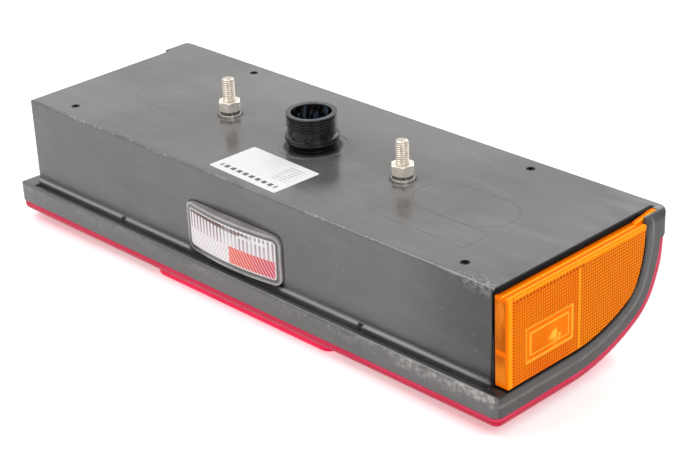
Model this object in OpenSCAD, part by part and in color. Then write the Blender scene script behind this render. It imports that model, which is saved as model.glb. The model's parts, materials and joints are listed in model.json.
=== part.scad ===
// Rear lamp cluster for a truck or trailer, lying on its lens with the mounting face up.
// Millimetres. Origin: middle between the two mounting studs, on the back face.
// +Z leaves the back along the studs, +X runs to the side marker, +Y to the curved side.

/* [Mounting] */
// Distance between the two mounting studs
stud_pitch = 152; // [120:1:170]
// Thread diameter of the studs
stud_d = 8; // [6:1:10]
// How far the studs stand out of the back face
stud_reach = 25; // [18:0.5:35]
// Width across flats of nuts and stud heads
nut_af = 13; // [13:0.5:17]
// Height of a nut
nut_h = 6.5; // [4:0.1:8]
// Turn of the nuts, as they were left when tightened
nut_turn = 16; // [0:1:60]
// Outer diameter of the flat washers
washer_d = 14; // [13.5:0.5:18]
// Thickness of the flat washers
washer_t = 1.6; // [1:0.1:2.5]
// Thickness of the split spring washers
spring_t = 2; // [1.5:0.1:3]
// Depth of the plastic under the back face that holds a stud head down
stud_seat = 6; // [5:0.5:7]
// Height of a stud head
head_h = 5.3; // [4:0.1:5.5]

/* [Housing] */
// From the stud middle to the plain end wall
left_reach = 197.5; // [190:0.5:205]
// From the stud middle to the end of the back plate above the side marker
right_reach = 208; // [204:0.5:216]
// How far the end wall stands back under the end of the back plate
marker_eave = 2.4; // [1:0.1:4]
// From the stud line to the number plate wall
near_reach = 68.2; // [64:0.1:72]
// Wall thickness of the moulding
wall = 2.8; // [2:0.1:3.4]
// Outside rounding of the long top edges
edge_r = 1.8; // [0.6:0.1:2.4]
// Outside rounding of the upright corners
corner_r = 2.6; // [1:0.1:4]
// Depth from the back face to the edge that meets the lens
rim_depth = 72; // [70:0.5:76]
// How much the end wall widens from top to flange
draft = 1.2; // [0:0.1:2]

/* [Flange] */
// Width of the flange band seen from the end
band = 13.2; // [12:0.1:15]
// Overhang of the flange past the plain end wall, at the number plate side
flange_end = 10.9; // [9:0.1:12]
// How much less it overhangs at the curved side
flange_taper = 6.4; // [0:0.1:7]
// Overhang of the flange past the side marker wall
flange_marker_end = 9.8; // [9:0.1:11]
// Overhang of the flange past the number plate wall
flange_near = 8.6; // [7:0.1:9.4]
// Thickness of the outer wall of the flange
rim_t = 2.8; // [2:0.1:3]
// Depth of the channel that takes the lens rim
channel_depth = 8; // [7.5:0.1:9]
// Plan radius of the two flange corners on the number plate side
flange_near_r = 5; // [2:0.5:7]
// Plan radius of the flange corner on the curved side, at the plain end
plain_far_r = 9; // [4:0.5:10]
// Plan radius of the flange corner on the curved side, at the side marker
marker_far_r = 4.5; // [2:0.5:9]
// Rounding of the outer top edge of the flange
flange_edge_r = 1.8; // [1:0.1:2.4]
// Width of the lip that the curved side has at the back face
far_lip = 7.2; // [6:0.1:9]
// How far that lip reaches above the upper end of the curve
far_lip_rise = 3; // [2:0.1:3.6]

/* [Belly] */
// Where the flat of the lens ends and its curve starts, from the stud line
belly_start = -15; // [-20:0.5:-10]
// Depth of the upper end of the curve below the back face
belly_top = 17.2; // [16:0.1:19]
// Radius of the first, shallow stretch, as a share of the height of the curve
belly_share1 = 2.1; // [2:0.01:2.2]
// Radius of the shoulder, as a share of that height
belly_share2 = 0.584; // [0.56:0.002:0.61]

/* [Lens] */
// How far the lens stands out below the flange
lens_drop = 5.4; // [4.8:0.1:7]
// Thickness of the lens face
lens_t = 2.6; // [2:0.1:3]
// Step of the lens edge behind the flange edge
lens_inset = 1.2; // [0.6:0.1:1.8]
// Thickness of the lens side
lens_rim = 3; // [2.6:0.1:4]
// Height of the tongue that enters the flange channel
tongue_h = 5.5; // [4:0.1:6]
// Thickness of that tongue
tongue_t = 2.2; // [1.6:0.1:2.6]
// Seam between lens and flange
seam = 0.2; // [0.1:0.05:0.4]
// Clearance round parts that fit into each other
fit = 0.3; // [0.15:0.05:0.4]
// Clearance of pieces that are pressed or bonded in place
snug = 0.1; // [0.05:0.05:0.15]

/* [Reflector block] */
// Middle of the raised reflex reflector along the lamp
reflex_x = 4.9; // [2:0.1:6]
// Length of the raised reflex reflector
reflex_l = 159.4; // [140:0.2:164]
// Distance from the lens side to the near face of the reflector
reflex_step = 3.1; // [1:0.1:4]
// Width of the reflector across the lamp
reflex_w = 88.5; // [84:0.5:92]
// Depth of its flat face below the edge of the flange
reflex_drop = 12.5; // [11.5:0.1:16]
// Corner radius of the reflector
reflex_r = 8; // [5:0.5:12]
// Rounding of its lower edge
reflex_edge = 2.4; // [1:0.1:3]
// Wall thickness of the reflector
reflex_t = 2.6; // [2:0.1:3]
// Pitch of the prism rows inside the reflector
prism_pitch = 7; // [6:0.5:10]

/* [Number plate lens] */
// Length of the number plate lens
plate_l = 84; // [76:0.5:90]
// Distance from the back face to the top of the lens
plate_top = 23.5; // [20:0.1:26]
// Distance from the foot of the lens to the flange
plate_foot = 2.8; // [2.4:0.1:6]
// Middle of the lens along the lamp
plate_x = 1; // [-4:0.5:6]
// Corner radius of the lens
plate_r = 6; // [4:0.5:8]
// How far the ends of the lens stand out of the wall
plate_proud = 1.2; // [0.6:0.1:2]
// How much further its middle bulges
plate_bulge = 4; // [2:0.1:4.5]
// Thickness of the clear plastic
plate_t = 2; // [1.6:0.1:2.4]
// Plain border round the ribbed field
plate_border = 4.4; // [3.5:0.1:6]
// Pitch of the ribs
rib_pitch = 3.3; // [3:0.1:4.5]

/* [Side marker] */
// Gap between the amber lens and the flange
marker_gap = 1.6; // [1:0.1:2.4]
// Depth of the top of the amber lens below the back face
marker_top = 3.5; // [3.2:0.1:6]
// How far the amber face stands out past the flange
marker_proud = 0; // [0:0.1:1]
// Wall thickness of the amber lens
marker_t = 2.2; // [1.8:0.1:2.6]
// Width of the ledge between the amber lens and the end window
marker_ledge = 5.2; // [4.6:0.1:7]
// Thickness of the seal behind the amber lens
marker_seal_t = 0.8; // [0.6:0.1:1.2]
// Length of the clear window moulded in the amber lens
window_l = 38.5; // [30:0.5:42]
// Height of that window
window_h = 20.4; // [16:0.2:22]
// Distance from the number plate wall to the window
window_in = 14.7; // [12:0.1:18]
// Distance from the flange to the foot of the window
window_foot = 11.4; // [9:0.1:14]

/* [Connector] */
// Diameter over the rings at the mouth
socket_d = 31.3; // [30:0.1:34]
// Height of the connector above the back face
socket_h = 22.5; // [20:0.5:28]
// Diameter of the collar half way down
collar_d = 33.8; // [33:0.1:38]
// Diameter of the neck below the collar
neck_d = 28.8; // [28:0.1:30]
// Diameter of the mouth that takes the plug
mouth_d = 25.6; // [24:0.1:26.4]
// Diameter of the spigot in the back plate
spigot_d = 24; // [22:0.1:25]
// How far the spigot reaches into the housing
spigot_reach = 9; // [6:0.5:9.5]
// Height of the contact pins above the back face
pin_reach = 12; // [8:0.5:16]
// Diameter of a contact pin
pin_d = 2.5; // [1.8:0.1:3]
// Radius of the circle of pins
pin_circle = 7.5; // [7:0.1:8.5]

/* [Lamps] */
// Diameter of the glass of a main bulb
bulb_d = 26; // [22:0.5:27]
// Diameter of a bulb cap
cap_d = 15; // [14.5:0.1:15.4]
// Depth of the reflector floor below the back face
floor_depth = 30; // [28:0.5:31]
// Thickness of the reflector moulding
floor_t = 2; // [1.5:0.1:2.5]
// Place of the bulb row across the lamp
bulb_y = -22; // [-24:0.5:-21]
// Diameter of the glass of the side marker bulb
marker_bulb_d = 16; // [14:0.5:18]
// Height of a bulb holder above the reflector floor
sleeve_h = 16.5; // [15:0.1:17]
// Width of the side marker's cell
marker_cell = 29.6; // [28:0.1:34]
// Width of the indicator's cell
indicator_cell = 51; // [48:0.5:60]
// Width of the fog lamp's cell
fog_cell = 75.7; // [60:0.1:80]

/* [Screws and label] */
// Diameter of the lens screws
screw_d = 4; // [3.5:0.1:4.5]
// Diameter of the small holes left in the back plate
pilot_d = 3; // [2.4:0.1:3.2]
// How far a screw bites into its boss
screw_bite = 13; // [8:0.5:16]
// Distance of the near screws from the plain end wall
near_screw_l = 32.6; // [26:0.1:40]
// Distance of the near screws from the side marker wall
near_screw_r = 31; // [26:0.1:34]
// Distance of the far screws from the plain end wall
far_screw_l = 78.6; // [60:0.1:90]
// Distance of the far screws from the side marker wall
far_screw_r = 82.4; // [60:0.1:90]
// Length of the paper label
label_l = 59.5; // [50:0.5:64]
// Width of the paper label
label_w = 35.8; // [28:0.2:38]

/* [Hidden] */

// Heading of the belly curve where each of its three arcs ends, and the radii of the arcs
turn = [29, 63, 84];
belly_h = rim_depth - belly_top;
belly_r1 = belly_share1 * belly_h;
belly_r2 = belly_share2 * belly_h;
belly_r3 = (belly_h - belly_r1 * (1 - cos(turn[0])) - belly_r2 * (cos(turn[0]) - cos(turn[1])))
           / (cos(turn[1]) - cos(turn[2]));
arc_steps = 9;
corner_steps = 6;
far_cut = 400;

// Housing
wall_x0 = -left_reach;
wall_x1 = right_reach - marker_eave;
flange_x0 = wall_x0 - draft - flange_end;
flange_x1 = wall_x1 + flange_marker_end;
near_y = -near_reach;
flange_y0 = near_y - flange_near;

// Arc of radius r that starts at p with heading h0 and turns to heading h1
function centre(p, r, h) = [p[0] - r * sin(h), p[1] + r * cos(h)];
function on_arc(c, r, h) = [c[0] + r * sin(h), c[1] - r * cos(h)];
function arc(p, r, h0, h1) =
    [for (i = [1:arc_steps]) on_arc(centre(p, r, h0), r, h0 + (h1 - h0) * i / arc_steps)];

// The belly curve, moved outwards by d along its normal
function belly(d) =
    let (p0 = [belly_start, -rim_depth - d],
         a1 = arc(p0, belly_r1 + d, 0, turn[0]),
         p1 = a1[arc_steps - 1],
         a2 = arc(p1, belly_r2 + d, turn[0], turn[1]),
         p2 = a2[arc_steps - 1],
         a3 = arc(p2, belly_r3 + d, turn[1], turn[2]))
    concat([p0], a1, a2, a3);
function belly_end(d) = belly(d)[3 * arc_steps];

far_y = belly_end(0)[0] + far_lip;
far_lip_depth = belly_top - far_lip_rise;
lip_t = 1.6;

// Everything above the belly curve, with the curve running on straight up to z = top
function inside_pts(d, near, top) =
    let (e = belly_end(d))
    concat([[near, top], [near, -rim_depth - d]], belly(d),
           [[e[0] + (top - e[1]) / tan(turn[2]), top]]);

// The same with the outward lip of the curved side
function rim_pts(d, near, top) =
    concat([[near, top], [near, -rim_depth - d]], belly(d),
           [[far_y + lip_t, -far_lip_depth - min(d, lip_t)], [far_y + lip_t, top]]);

// Rectangle with separate radii on the near and the far corners
function quarter(cx, cy, r, a0) =
    [for (i = [0:corner_steps]) let (a = a0 + 90 * i / corner_steps) [cx + r * cos(a), cy + r * sin(a)]];
function rounded(x0, y0, x1, y1, rn, rf) =
    concat(quarter(x0 + rn, y0 + rn, rn, 180), quarter(x1 - rn, y0 + rn, rn, 270),
           quarter(x1 - rf, y1 - rf, rf, 0), quarter(x0 + rf, y1 - rf, rf, 90));

// Outline of the flange in plan, moved inwards
least_r = 0.8;
function plan_pts(inset) =
    let (rn = max(flange_near_r - inset, least_r), rm = max(marker_far_r - inset, least_r),
         rp = max(plain_far_r - inset, least_r), y0 = flange_y0 + inset, y1 = far_y - inset,
         x0 = flange_x0 + inset, x1 = flange_x1 - inset)
    concat(quarter(x0 + rn, y0 + rn, rn, 180), quarter(x1 - rn, y0 + rn, rn, 270),
           quarter(x1 - rm, y1 - rm, rm, 0), quarter(x0 + flange_taper + rp, y1 - rp, rp, 90));

// Lays an outline drawn as (y, z) along X, or one drawn as (x, z) along Y
module along_x(x0, x1) translate([x0, 0, 0]) rotate([90, 0, 90]) linear_extrude(x1 - x0) children();
module along_y(y0, y1) translate([0, y1, 0]) rotate([90, 0, 0]) linear_extrude(y1 - y0) children();
module between(z0, z1) translate([0, 0, z0]) linear_extrude(z1 - z0) children();

// The layer of the lamp between belly offsets d0 and d1, within a plan inset
module layer(d0, d1, inset) {
    intersection() {
        along_x(flange_x0 - 1, flange_x1 + 1) difference() {
            polygon(rim_pts(d1, flange_y0 - 1, 0));
            polygon(rim_pts(d0, flange_y0 - 2, 1));
        }
        between(-rim_depth - far_cut / 4, far_cut / 4) polygon(plan_pts(inset));
    }
}

// A tall column with the plan outline
module plan_column(inset) {
    between(-rim_depth - far_cut / 4, far_cut / 4) polygon(plan_pts(inset));
}

// Lens screws: x, y and depth of the end of the boss that each one bites into
screw_boss_d = 8;
tube_d = 11;
tube_bore = 8.4;
screw_head_d = 7.6;
screw_head_h = 2.4;
near_boss_rise = 10;
far_boss_drop = 8.8;
near_screw_in = 12.6;
far_screw_in = 10.1;
near_boss_depth = rim_depth - near_boss_rise;
far_boss_depth = belly_top + far_boss_drop;
near_screw_y = near_y + near_screw_in;
far_screw_y = far_y - far_screw_in;
screws = [[wall_x0 + near_screw_l, near_screw_y, near_boss_depth],
          [wall_x1 - near_screw_r, near_screw_y, near_boss_depth],
          [wall_x0 + far_screw_l, far_screw_y, far_boss_depth],
          [wall_x1 - far_screw_r, far_screw_y, far_boss_depth]];
tube_floor = 2.4;

// Studs
stud_x = stud_pitch / 2;
stud_boss_d = nut_af + 8;
stud_boss_depth = stud_seat + head_h + 1;
nut_z = washer_t + spring_t;
pitch_d = stud_d * 0.9;

// Connector
ring_n = 5;
track_turn = 46;
track_a = -9;
pins = concat([[0, 0]], [for (a = [0:60:300]) [pin_circle * cos(a), pin_circle * sin(a)]]);
pin_end = -12.5;
seal_t = 1.4;
collar_z = 7;
ring_z = collar_z + 6;
track_z = collar_z + 1;
witness_d = 42.4;
witness_w = 0.5;
witness_depth = 0.3;
socket_floor_z = 2;
socket_floor_t = 4;

// White reflector: its ends, and x of each partition between its cells
plate_seal_t = 0.8;
insert_gap = 1;
insert_x0 = wall_x0 + wall + insert_gap;
insert_x1 = wall_x1 - wall - insert_gap;
insert_y0 = near_y + wall + plate_seal_t + plate_t + 2 * insert_gap;
insert_in = 21;
insert_y1 = far_y - insert_in;
plate_cell = plate_l - 2;
partitions = [insert_x0 + fog_cell, plate_x - plate_cell / 2, plate_x + plate_cell / 2,
              wall_x1 - marker_cell - indicator_cell, wall_x1 - marker_cell];

// Lamps: each bulb hangs in the middle of its cell
fog_x = (insert_x0 + partitions[0]) / 2;
reversing_x = (partitions[0] + partitions[1]) / 2;
tail_x = plate_x;
stop_x = (partitions[2] + partitions[3]) / 2;
indicator_x = (partitions[3] + partitions[4]) / 2;
marker_x = (partitions[4] + insert_x1) / 2;
bulbs = [fog_x, reversing_x, tail_x, stop_x, indicator_x, marker_x];
holder_d = cap_d + 2;
holder_flange_d = 23;
holder_flange_t = 1.2;
holder_top = -(floor_depth - sleeve_h);
cap_drop = 3;
cap_bottom = -(floor_depth + floor_t + cap_drop);
floor_z = -floor_depth;
slot_w = 2.6;
slot_h = 7;
contact_d = 4;
contact_h = 2.5;
contact_drop = 3;
bulb_pin_d = 2;
bulb_pin_out = 0.8;
stake_d = 4;
stake_boss_d = 8;
stake_in = 11;
stake_out = 14.6;
stake_near_y = insert_y0 + stake_out;
stakes = [[partitions[0] - 2.5 * stake_boss_d, stake_near_y],
          [partitions[0] - 2.5 * stake_boss_d, insert_y1 - stake_in],
          [partitions[2] + 2.5 * stake_boss_d, insert_y1 - stake_in],
          [partitions[3] - 1.6 * stake_boss_d, stake_near_y]];

// Side marker
marker_x0 = wall_x1 + marker_seal_t;
marker_x1 = flange_x1 + marker_proud;
marker_near = near_y + 0.2;

module marker_outline(inset) {
    intersection() {
        polygon(inside_pts(-band - marker_gap - inset, marker_near + inset, 0));
        translate([marker_near + inset, -rim_depth])
            square([far_cut, rim_depth - marker_top - inset]);
    }
}

// Openings of the coloured windows in the lens: x0, x1, y0, y1
field_in = 35;
reversing_in = 13;
indicator_in = 26;
field_y1 = far_y - field_in;
reversing_field = [partitions[0] + 4, reversing_x, near_y + reversing_in, field_y1];
indicator_field = [partitions[3] + 2, partitions[4] - 3, near_y + indicator_in, field_y1];
field_r = 4;
lap = 2;

module field(f, grow) {
    polygon(rounded(f[0] - grow, f[2] - grow, f[1] + grow, f[3] + grow, field_r, field_r));
}

// Number plate window
plate_x0 = plate_x - plate_l / 2;
plate_h = rim_depth - band - plate_top - plate_foot;
plate_z = -plate_top - plate_h / 2;
plate_curve_r = (plate_l * plate_l / 4 + plate_bulge * plate_bulge) / (2 * plate_bulge);
plate_centre_y = near_y - plate_proud - plate_bulge + plate_curve_r;
plate_lap = 3;

module plate_outline(grow) {
    polygon(rounded(plate_x0 - grow, plate_z - plate_h / 2 - grow, plate_x0 + plate_l + grow,
                    plate_z + plate_h / 2 + grow, plate_r + grow, plate_r + grow));
}

// Upright cylinder that gives the number plate lens its bulge, less t
module plate_barrel(t) {
    translate([plate_x, plate_centre_y, -rim_depth])
        cylinder(r = plate_curve_r - t, h = rim_depth, $fn = 180);
}

module hex(af, h) {
    cylinder(d = af / cos(30), h = h, $fn = 6);
}

// Body: back plate, number plate wall, two end walls
module body_block() {
    e = edge_r;
    intersection() {
        along_x(wall_x0 - 5, right_reach + 1) intersection() {
            polygon(inside_pts(-band, near_y, 1));
            polygon(concat([[far_cut, -far_cut], [near_y, -far_cut]],
                           [for (i = [0:4]) [near_y + e - e * cos(i * 22.5), -e + e * sin(i * 22.5)]],
                           [[far_cut, 0]]));
        }
        along_y(near_y - 1, far_y + 1)
            polygon(concat([[wall_x1, -far_cut], [wall_x0 - draft, -far_cut],
                            [wall_x0 - draft, -rim_depth]],
                           [for (i = [0:4]) [wall_x0 + e - e * cos(i * 22.5), -e + e * sin(i * 22.5)]],
                           [for (i = [4:-1:0])
                               [right_reach - e + e * cos(i * 22.5), -e + e * sin(i * 22.5)]],
                           [[right_reach, -wall], [wall_x1, -wall]]));
        between(-rim_depth, 1)
            polygon(rounded(wall_x0 - draft, near_y, right_reach, far_y, corner_r, 1));
    }
}

// Takes the corner off where an end of the flange reaches the back face: x of the end face,
// radius, and side of the lamp
plain_top_r = 4.5;
marker_top_r = 6;

module end_corner(x, r, side) {
    x_in = x - side * r;
    along_y(0, far_y + 1) difference() {
        translate([min(side * far_cut, x_in), -r]) square([abs(side * far_cut - x_in), r + 1]);
        translate([x_in, -r]) circle(r = r, $fn = 64);
    }
}

// Flange: a band of constant width that follows the belly curve all round
module flange_block() {
    difference() {
        intersection() {
            plan_column(0);
            difference() {
                along_x(flange_x0 - 1, flange_x1 + 1) polygon(rim_pts(0, flange_y0 - 1, 0));
                along_x(flange_x0 - 2, flange_x1 + 2) polygon(inside_pts(-band, flange_y0 - 2, 1));
            }
        }
        end_corner(flange_x0 + flange_taper, plain_top_r, -1);
        end_corner(flange_x1, marker_top_r, 1);
    }
    near_ridge();
}

// Ridge along the foot of the number plate wall, with its two drain notches
ridge_w = 2.2;
ridge_h = 3;
ridge_r = 1.8;
notch_w = 4;
notches = [wall_x0 + 92.4, wall_x1 - 98];

module near_ridge() {
    top = -rim_depth + band;
    difference() {
        along_x(wall_x0 + 2, wall_x1 - 1)
            polygon(concat([[near_y + wall / 2, top - 1], [near_y - ridge_w, top - 1]],
                           [for (a = [0:22.5:90])
                               [near_y - ridge_w + ridge_r * (1 - cos(a)),
                                top + ridge_h - ridge_r * (1 - sin(a))]],
                           [[near_y + wall / 2, top + ridge_h]]));
        for (x = notches)
            translate([x - notch_w / 2, near_y - ridge_w - 1, top - 2])
                cube([notch_w, ridge_w + 0.6, ridge_h + 3]);
    }
}

// Sloping shelf and groove outside the ridge
groove_w = 1.4;
groove_depth = 2.6;
shelf_drop = 1.4;

module near_groove() {
    top = -rim_depth + band;
    foot = near_y - ridge_w;
    along_x(wall_x0 + 3, wall_x1 - 2)
        polygon([[flange_y0 + flange_edge_r, top + 2], [flange_y0 + flange_edge_r, top],
                 [flange_y0 + flange_edge_r + 1, top - shelf_drop], [foot - groove_w, top - shelf_drop],
                 [foot - groove_w, top - groove_depth], [foot, top - groove_depth],
                 [foot, top + 2]]);
    for (x = notches)
        translate([x - notch_w / 2, foot - 0.5, top - groove_depth])
            cube([notch_w, ridge_w - 0.4, groove_depth + 1]);
    // Rounded outer edge
    along_x(flange_x0 - 1, flange_x1 + 1)
        polygon(concat([[flange_y0 - 1, top + 2], [flange_y0 - 1, top - flange_edge_r]],
                       [for (a = [0:22.5:90])
                           [flange_y0 + flange_edge_r * (1 - cos(a)), top - flange_edge_r * (1 - sin(a))]],
                       [[flange_y0 + flange_edge_r, top + 2]]));
}

// Slopes off the inner edge of the band beside the side marker
bevel = 1.4;

module marker_bevel() {
    hull() {
        along_x(flange_x1 - bevel, flange_x1 - bevel + 0.01) polygon(inside_pts(-band, flange_y0 - 3, 2));
        along_x(flange_x1 + bevel, flange_x1 + bevel + 0.01)
            polygon(inside_pts(-band + 2 * bevel, flange_y0 - 3, 2));
    }
}

// The same, wider, along the plain end, whose face stands askew in plan
plain_bevel_w = 3;

module plain_bevel() {
    translate([flange_x0, flange_y0, 0]) rotate(-atan(flange_taper / (far_y - flange_y0)))
        translate([0, -flange_y0, 0]) hull() {
            along_x(plain_bevel_w - 0.01, plain_bevel_w) polygon(inside_pts(-band, flange_y0 - 3, 2));
            along_x(-plain_bevel_w, 0.01 - plain_bevel_w)
                polygon(inside_pts(-band + 2 * plain_bevel_w, flange_y0 - 3, 2));
        }
}

// Locating tab of the side marker: it rises from the lens to a short tip near the far edge
tab_x0 = right_reach + fit;
tab_w = 3.2;
tab_y0 = belly_end(-band)[0] - 4.5;
tab_y1 = far_y - 6.6;
tab_z = -0.4;
tab_tip = 3.5;
window_inset = marker_ledge;

module stud_places() for (s = [-1, 1]) translate([s * stud_x, 0, 0]) children();

module housing() {
    color("dimgray") difference() {
        union() {
            difference() {
                union() {
                    body_block();
                    flange_block();
                }
                // Inside of the box
                translate([wall_x0 + wall, near_y + wall, -far_cut])
                    cube([wall_x1 - wall_x0 - 2 * wall, far_y - near_y - wall - rim_t - far_lip,
                          far_cut - wall]);
                // Channel for the rim of the lens
                layer(-channel_depth, far_cut / 8, rim_t);
                near_groove();
                marker_bevel();
                plain_bevel();
            }
            // Bosses for the lens screws
            for (p = screws) translate([p[0], p[1], -p[2]])
                cylinder(d = screw_boss_d, h = p[2] - wall / 2, $fn = 48);
            // Bosses round the stud heads
            stud_places() translate([0, 0, -stud_boss_depth])
                cylinder(d = stud_boss_d, h = stud_boss_depth - wall / 2, $fn = 64);
            // Posts that carry the reflector
            for (p = stakes) translate([p[0], p[1], floor_z]) {
                cylinder(d = stake_boss_d, h = floor_depth - wall / 2, $fn = 48);
                translate([0, 0, -floor_t - 1.5]) cylinder(d = stake_d, h = floor_t + 3, $fn = 32);
            }
        }
        for (p = screws) translate([p[0], p[1], 0]) {
            translate([0, 0, -p[2] - 1]) cylinder(d = pilot_d, h = p[2] + 2, $fn = 32);
            translate([0, 0, -p[2] - 1]) cylinder(d = screw_d + snug, h = screw_bite + 2, $fn = 32);
        }
        stud_places() {
            translate([0, 0, -stud_boss_depth - 1])
                cylinder(d = stud_d + snug, h = stud_boss_depth + 2, $fn = 48);
            translate([0, 0, -stud_boss_depth - 1]) hex(nut_af + snug, stud_boss_depth - stud_seat + 1);
        }
        // Seat of the connector, with the faint ring round it
        translate([0, 0, -wall - 1]) cylinder(d = spigot_d + 2 * snug, h = wall + 2, $fn = 96);
        translate([0, 0, -seal_t]) cylinder(d = neck_d - 0.4, h = seal_t + 1, $fn = 96);
        translate([0, 0, -witness_depth]) difference() {
            cylinder(d = witness_d + 2 * witness_w, h = 1, $fn = 96);
            translate([0, 0, -1]) cylinder(d = witness_d, h = 3, $fn = 96);
        }
        // Window of the number plate light
        along_y(near_y - 1, near_y + wall + 1) plate_outline(fit / 2);
        // Window and slot of the side marker
        along_x(wall_x1 - wall - 1, wall_x1 + 1) marker_outline(window_inset);
        translate([tab_x0 - fit, tab_y0 + 1.5, -marker_top - fit])
            cube([tab_w + 2 * fit, tab_y1 + fit - tab_y0 - 1.5, marker_top + 1 + fit]);
        // Tapered relief on the upright corner beside the side marker
        along_y(near_y - 1, near_y + wall / 2)
            polygon([[wall_x1 + 0.1, -wall], [wall_x1 + 0.1, -rim_depth + band],
                     [wall_x1 - 2.8, -rim_depth + band]]);
    }
}

// Lens screw tubes stand on the lens and reach up to the bosses of the housing
module lens_tubes(d, from) {
    for (p = screws) intersection() {
        translate([p[0], p[1], -far_cut / 2]) cylinder(d = d, h = far_cut / 2 - p[2] - from, $fn = 48);
        along_x(flange_x0, flange_x1) polygon(rim_pts(lens_drop, flange_y0, 0));
    }
}

module main_lens() {
    color("crimson") difference() {
        union() {
            difference() {
                layer(seam, lens_drop, lens_inset);
                layer(-far_cut / 8, lens_drop - lens_t, lens_inset + lens_rim);
            }
            difference() {
                layer(-tongue_h, seam + 1, rim_t + fit);
                plan_column(rim_t + fit + tongue_t);
            }
            lens_tubes(tube_d, seam);
        }
        for (p = screws) translate([p[0], p[1], -far_cut / 2]) {
            cylinder(d = screw_d + fit, h = far_cut / 2, $fn = 32);
            cylinder(d = tube_bore, h = far_cut / 2 - p[2] - seam - tube_floor, $fn = 48);
        }
        for (f = [reversing_field, indicator_field]) between(-far_cut / 4, 0) field(f, 0);
    }
}

// A coloured window let into the lens, with a lap on the inside
module lens_window(f) {
    intersection() {
        layer(lens_drop - lens_t, lens_drop, lens_inset);
        between(-far_cut / 4, 0) field(f, -snug);
    }
    intersection() {
        layer(lens_drop - lens_t - 1.4, lens_drop - lens_t - snug / 2, lens_inset + lens_rim);
        between(-far_cut / 4, 0) field(f, lap);
    }
    intersection() {
        layer(lens_drop - lens_t - 1, lens_drop - 1, lens_inset);
        between(-far_cut / 4, 0) field(f, -snug);
    }
}

module reversing_window() color("white") lens_window(reversing_field);
module indicator_window() color("orange") lens_window(indicator_field);

// Raised reflex reflector: a cap with a rounded lower edge, prisms inside
reflex_x0 = reflex_x - reflex_l / 2;
reflex_y0 = flange_y0 + lens_inset + reflex_step;

module reflex_slab(inset, z0, z1) {
    between(z0, z1)
        polygon(rounded(reflex_x0 + inset, reflex_y0 + inset, reflex_x0 + reflex_l - inset,
                        reflex_y0 + reflex_w - inset, reflex_r - inset / 2, reflex_r - inset / 2));
}

module reflex_reflector() {
    top = -rim_depth + 12;
    e = reflex_edge;
    face_z = -rim_depth - reflex_drop;
    inner_z = face_z + reflex_t;
    color("crimson") difference() {
        union() {
            difference() {
                hull() {
                    for (a = [0:22.5:90])
                        reflex_slab(e * (1 - sin(a)), face_z + e * (1 - cos(a)), top);
                }
                reflex_slab(reflex_t, inner_z, top + 1);
            }
            // Rows of prisms on the inner face
            intersection() {
                along_y(reflex_y0 + reflex_t / 2, reflex_y0 + reflex_w - reflex_t / 2)
                    for (x = [reflex_x0 + prism_pitch : prism_pitch : reflex_x0 + reflex_l - prism_pitch])
                        polygon([[x - prism_pitch / 2.2, inner_z - 0.5],
                                 [x + prism_pitch / 2.2, inner_z - 0.5], [x, inner_z + 1.4]]);
                reflex_slab(reflex_t / 2, inner_z - 1, top);
            }
        }
        along_x(flange_x0, flange_x1) polygon(rim_pts(lens_drop + snug / 2, flange_y0 - 1, 1));
    }
}

module lens_gasket() {
    color("black") difference() {
        layer(-channel_depth + snug, -tongue_h - snug, rim_t + snug);
        plan_column(rim_t + fit + tongue_t + snug);
        for (p = screws) translate([p[0], p[1], -far_cut / 4])
            cylinder(d = screw_boss_d + 1, h = far_cut / 4, $fn = 48);
    }
}

// Side marker lens: a shallow box that fills the end of the lamp
marker_face = marker_x1 - marker_t;
win_y0 = near_y + window_in;
win_z0 = -rim_depth + band + window_foot;

module marker_frame(grow) {
    translate([win_y0 - grow, win_z0 - grow]) square([window_l + 2 * grow, window_h + 2 * grow]);
}

module side_marker_lens() {
    color("orange") union() {
        difference() {
            along_x(marker_x0, marker_x1) marker_outline(0);
            along_x(marker_x0 - 1, marker_face) marker_outline(marker_t);
            // Shallow step round the clear window, and the line that splits the prism field
            along_x(marker_x1 - 0.5, marker_x1 + 1) difference() {
                marker_frame(0);
                marker_frame(-3.4);
            }
            translate([marker_x1 - 0.4, win_y0 + window_l + 5, -rim_depth]) cube([1, 0.9, rim_depth]);
        }
        // Spigot that enters the end window of the housing
        difference() {
            along_x(wall_x1 - 2, marker_face + 0.5) marker_outline(marker_ledge + fit);
            along_x(wall_x1 - 3, marker_face) marker_outline(marker_ledge + fit + marker_t);
        }
        // Frame moulded behind the clear window
        along_x(marker_face - 1.5, marker_face + 0.5) difference() {
            marker_frame(1.2);
            marker_frame(0);
        }
        // Small rib on the near side
        translate([marker_x0 + 1, marker_near, -rim_depth + band + 21])
            cube([marker_x1 - marker_x0 - 2, marker_t + 1, 2]);
        along_x(tab_x0, tab_x0 + tab_w)
            polygon([[tab_y0, -marker_top - marker_t / 2], [tab_y0 + marker_t, -marker_top - marker_t / 2],
                     [tab_y0 + marker_t, -marker_top], [tab_y1, -marker_top], [tab_y1, tab_z],
                     [tab_y1 - tab_tip, tab_z], [tab_y0, -marker_top + 1]]);
    }
}

module side_marker_seal() {
    color("black") along_x(wall_x1 + snug / 2, marker_x0 - snug / 2) difference() {
        marker_outline(0.6);
        marker_outline(marker_t + 1.2);
    }
}

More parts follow.
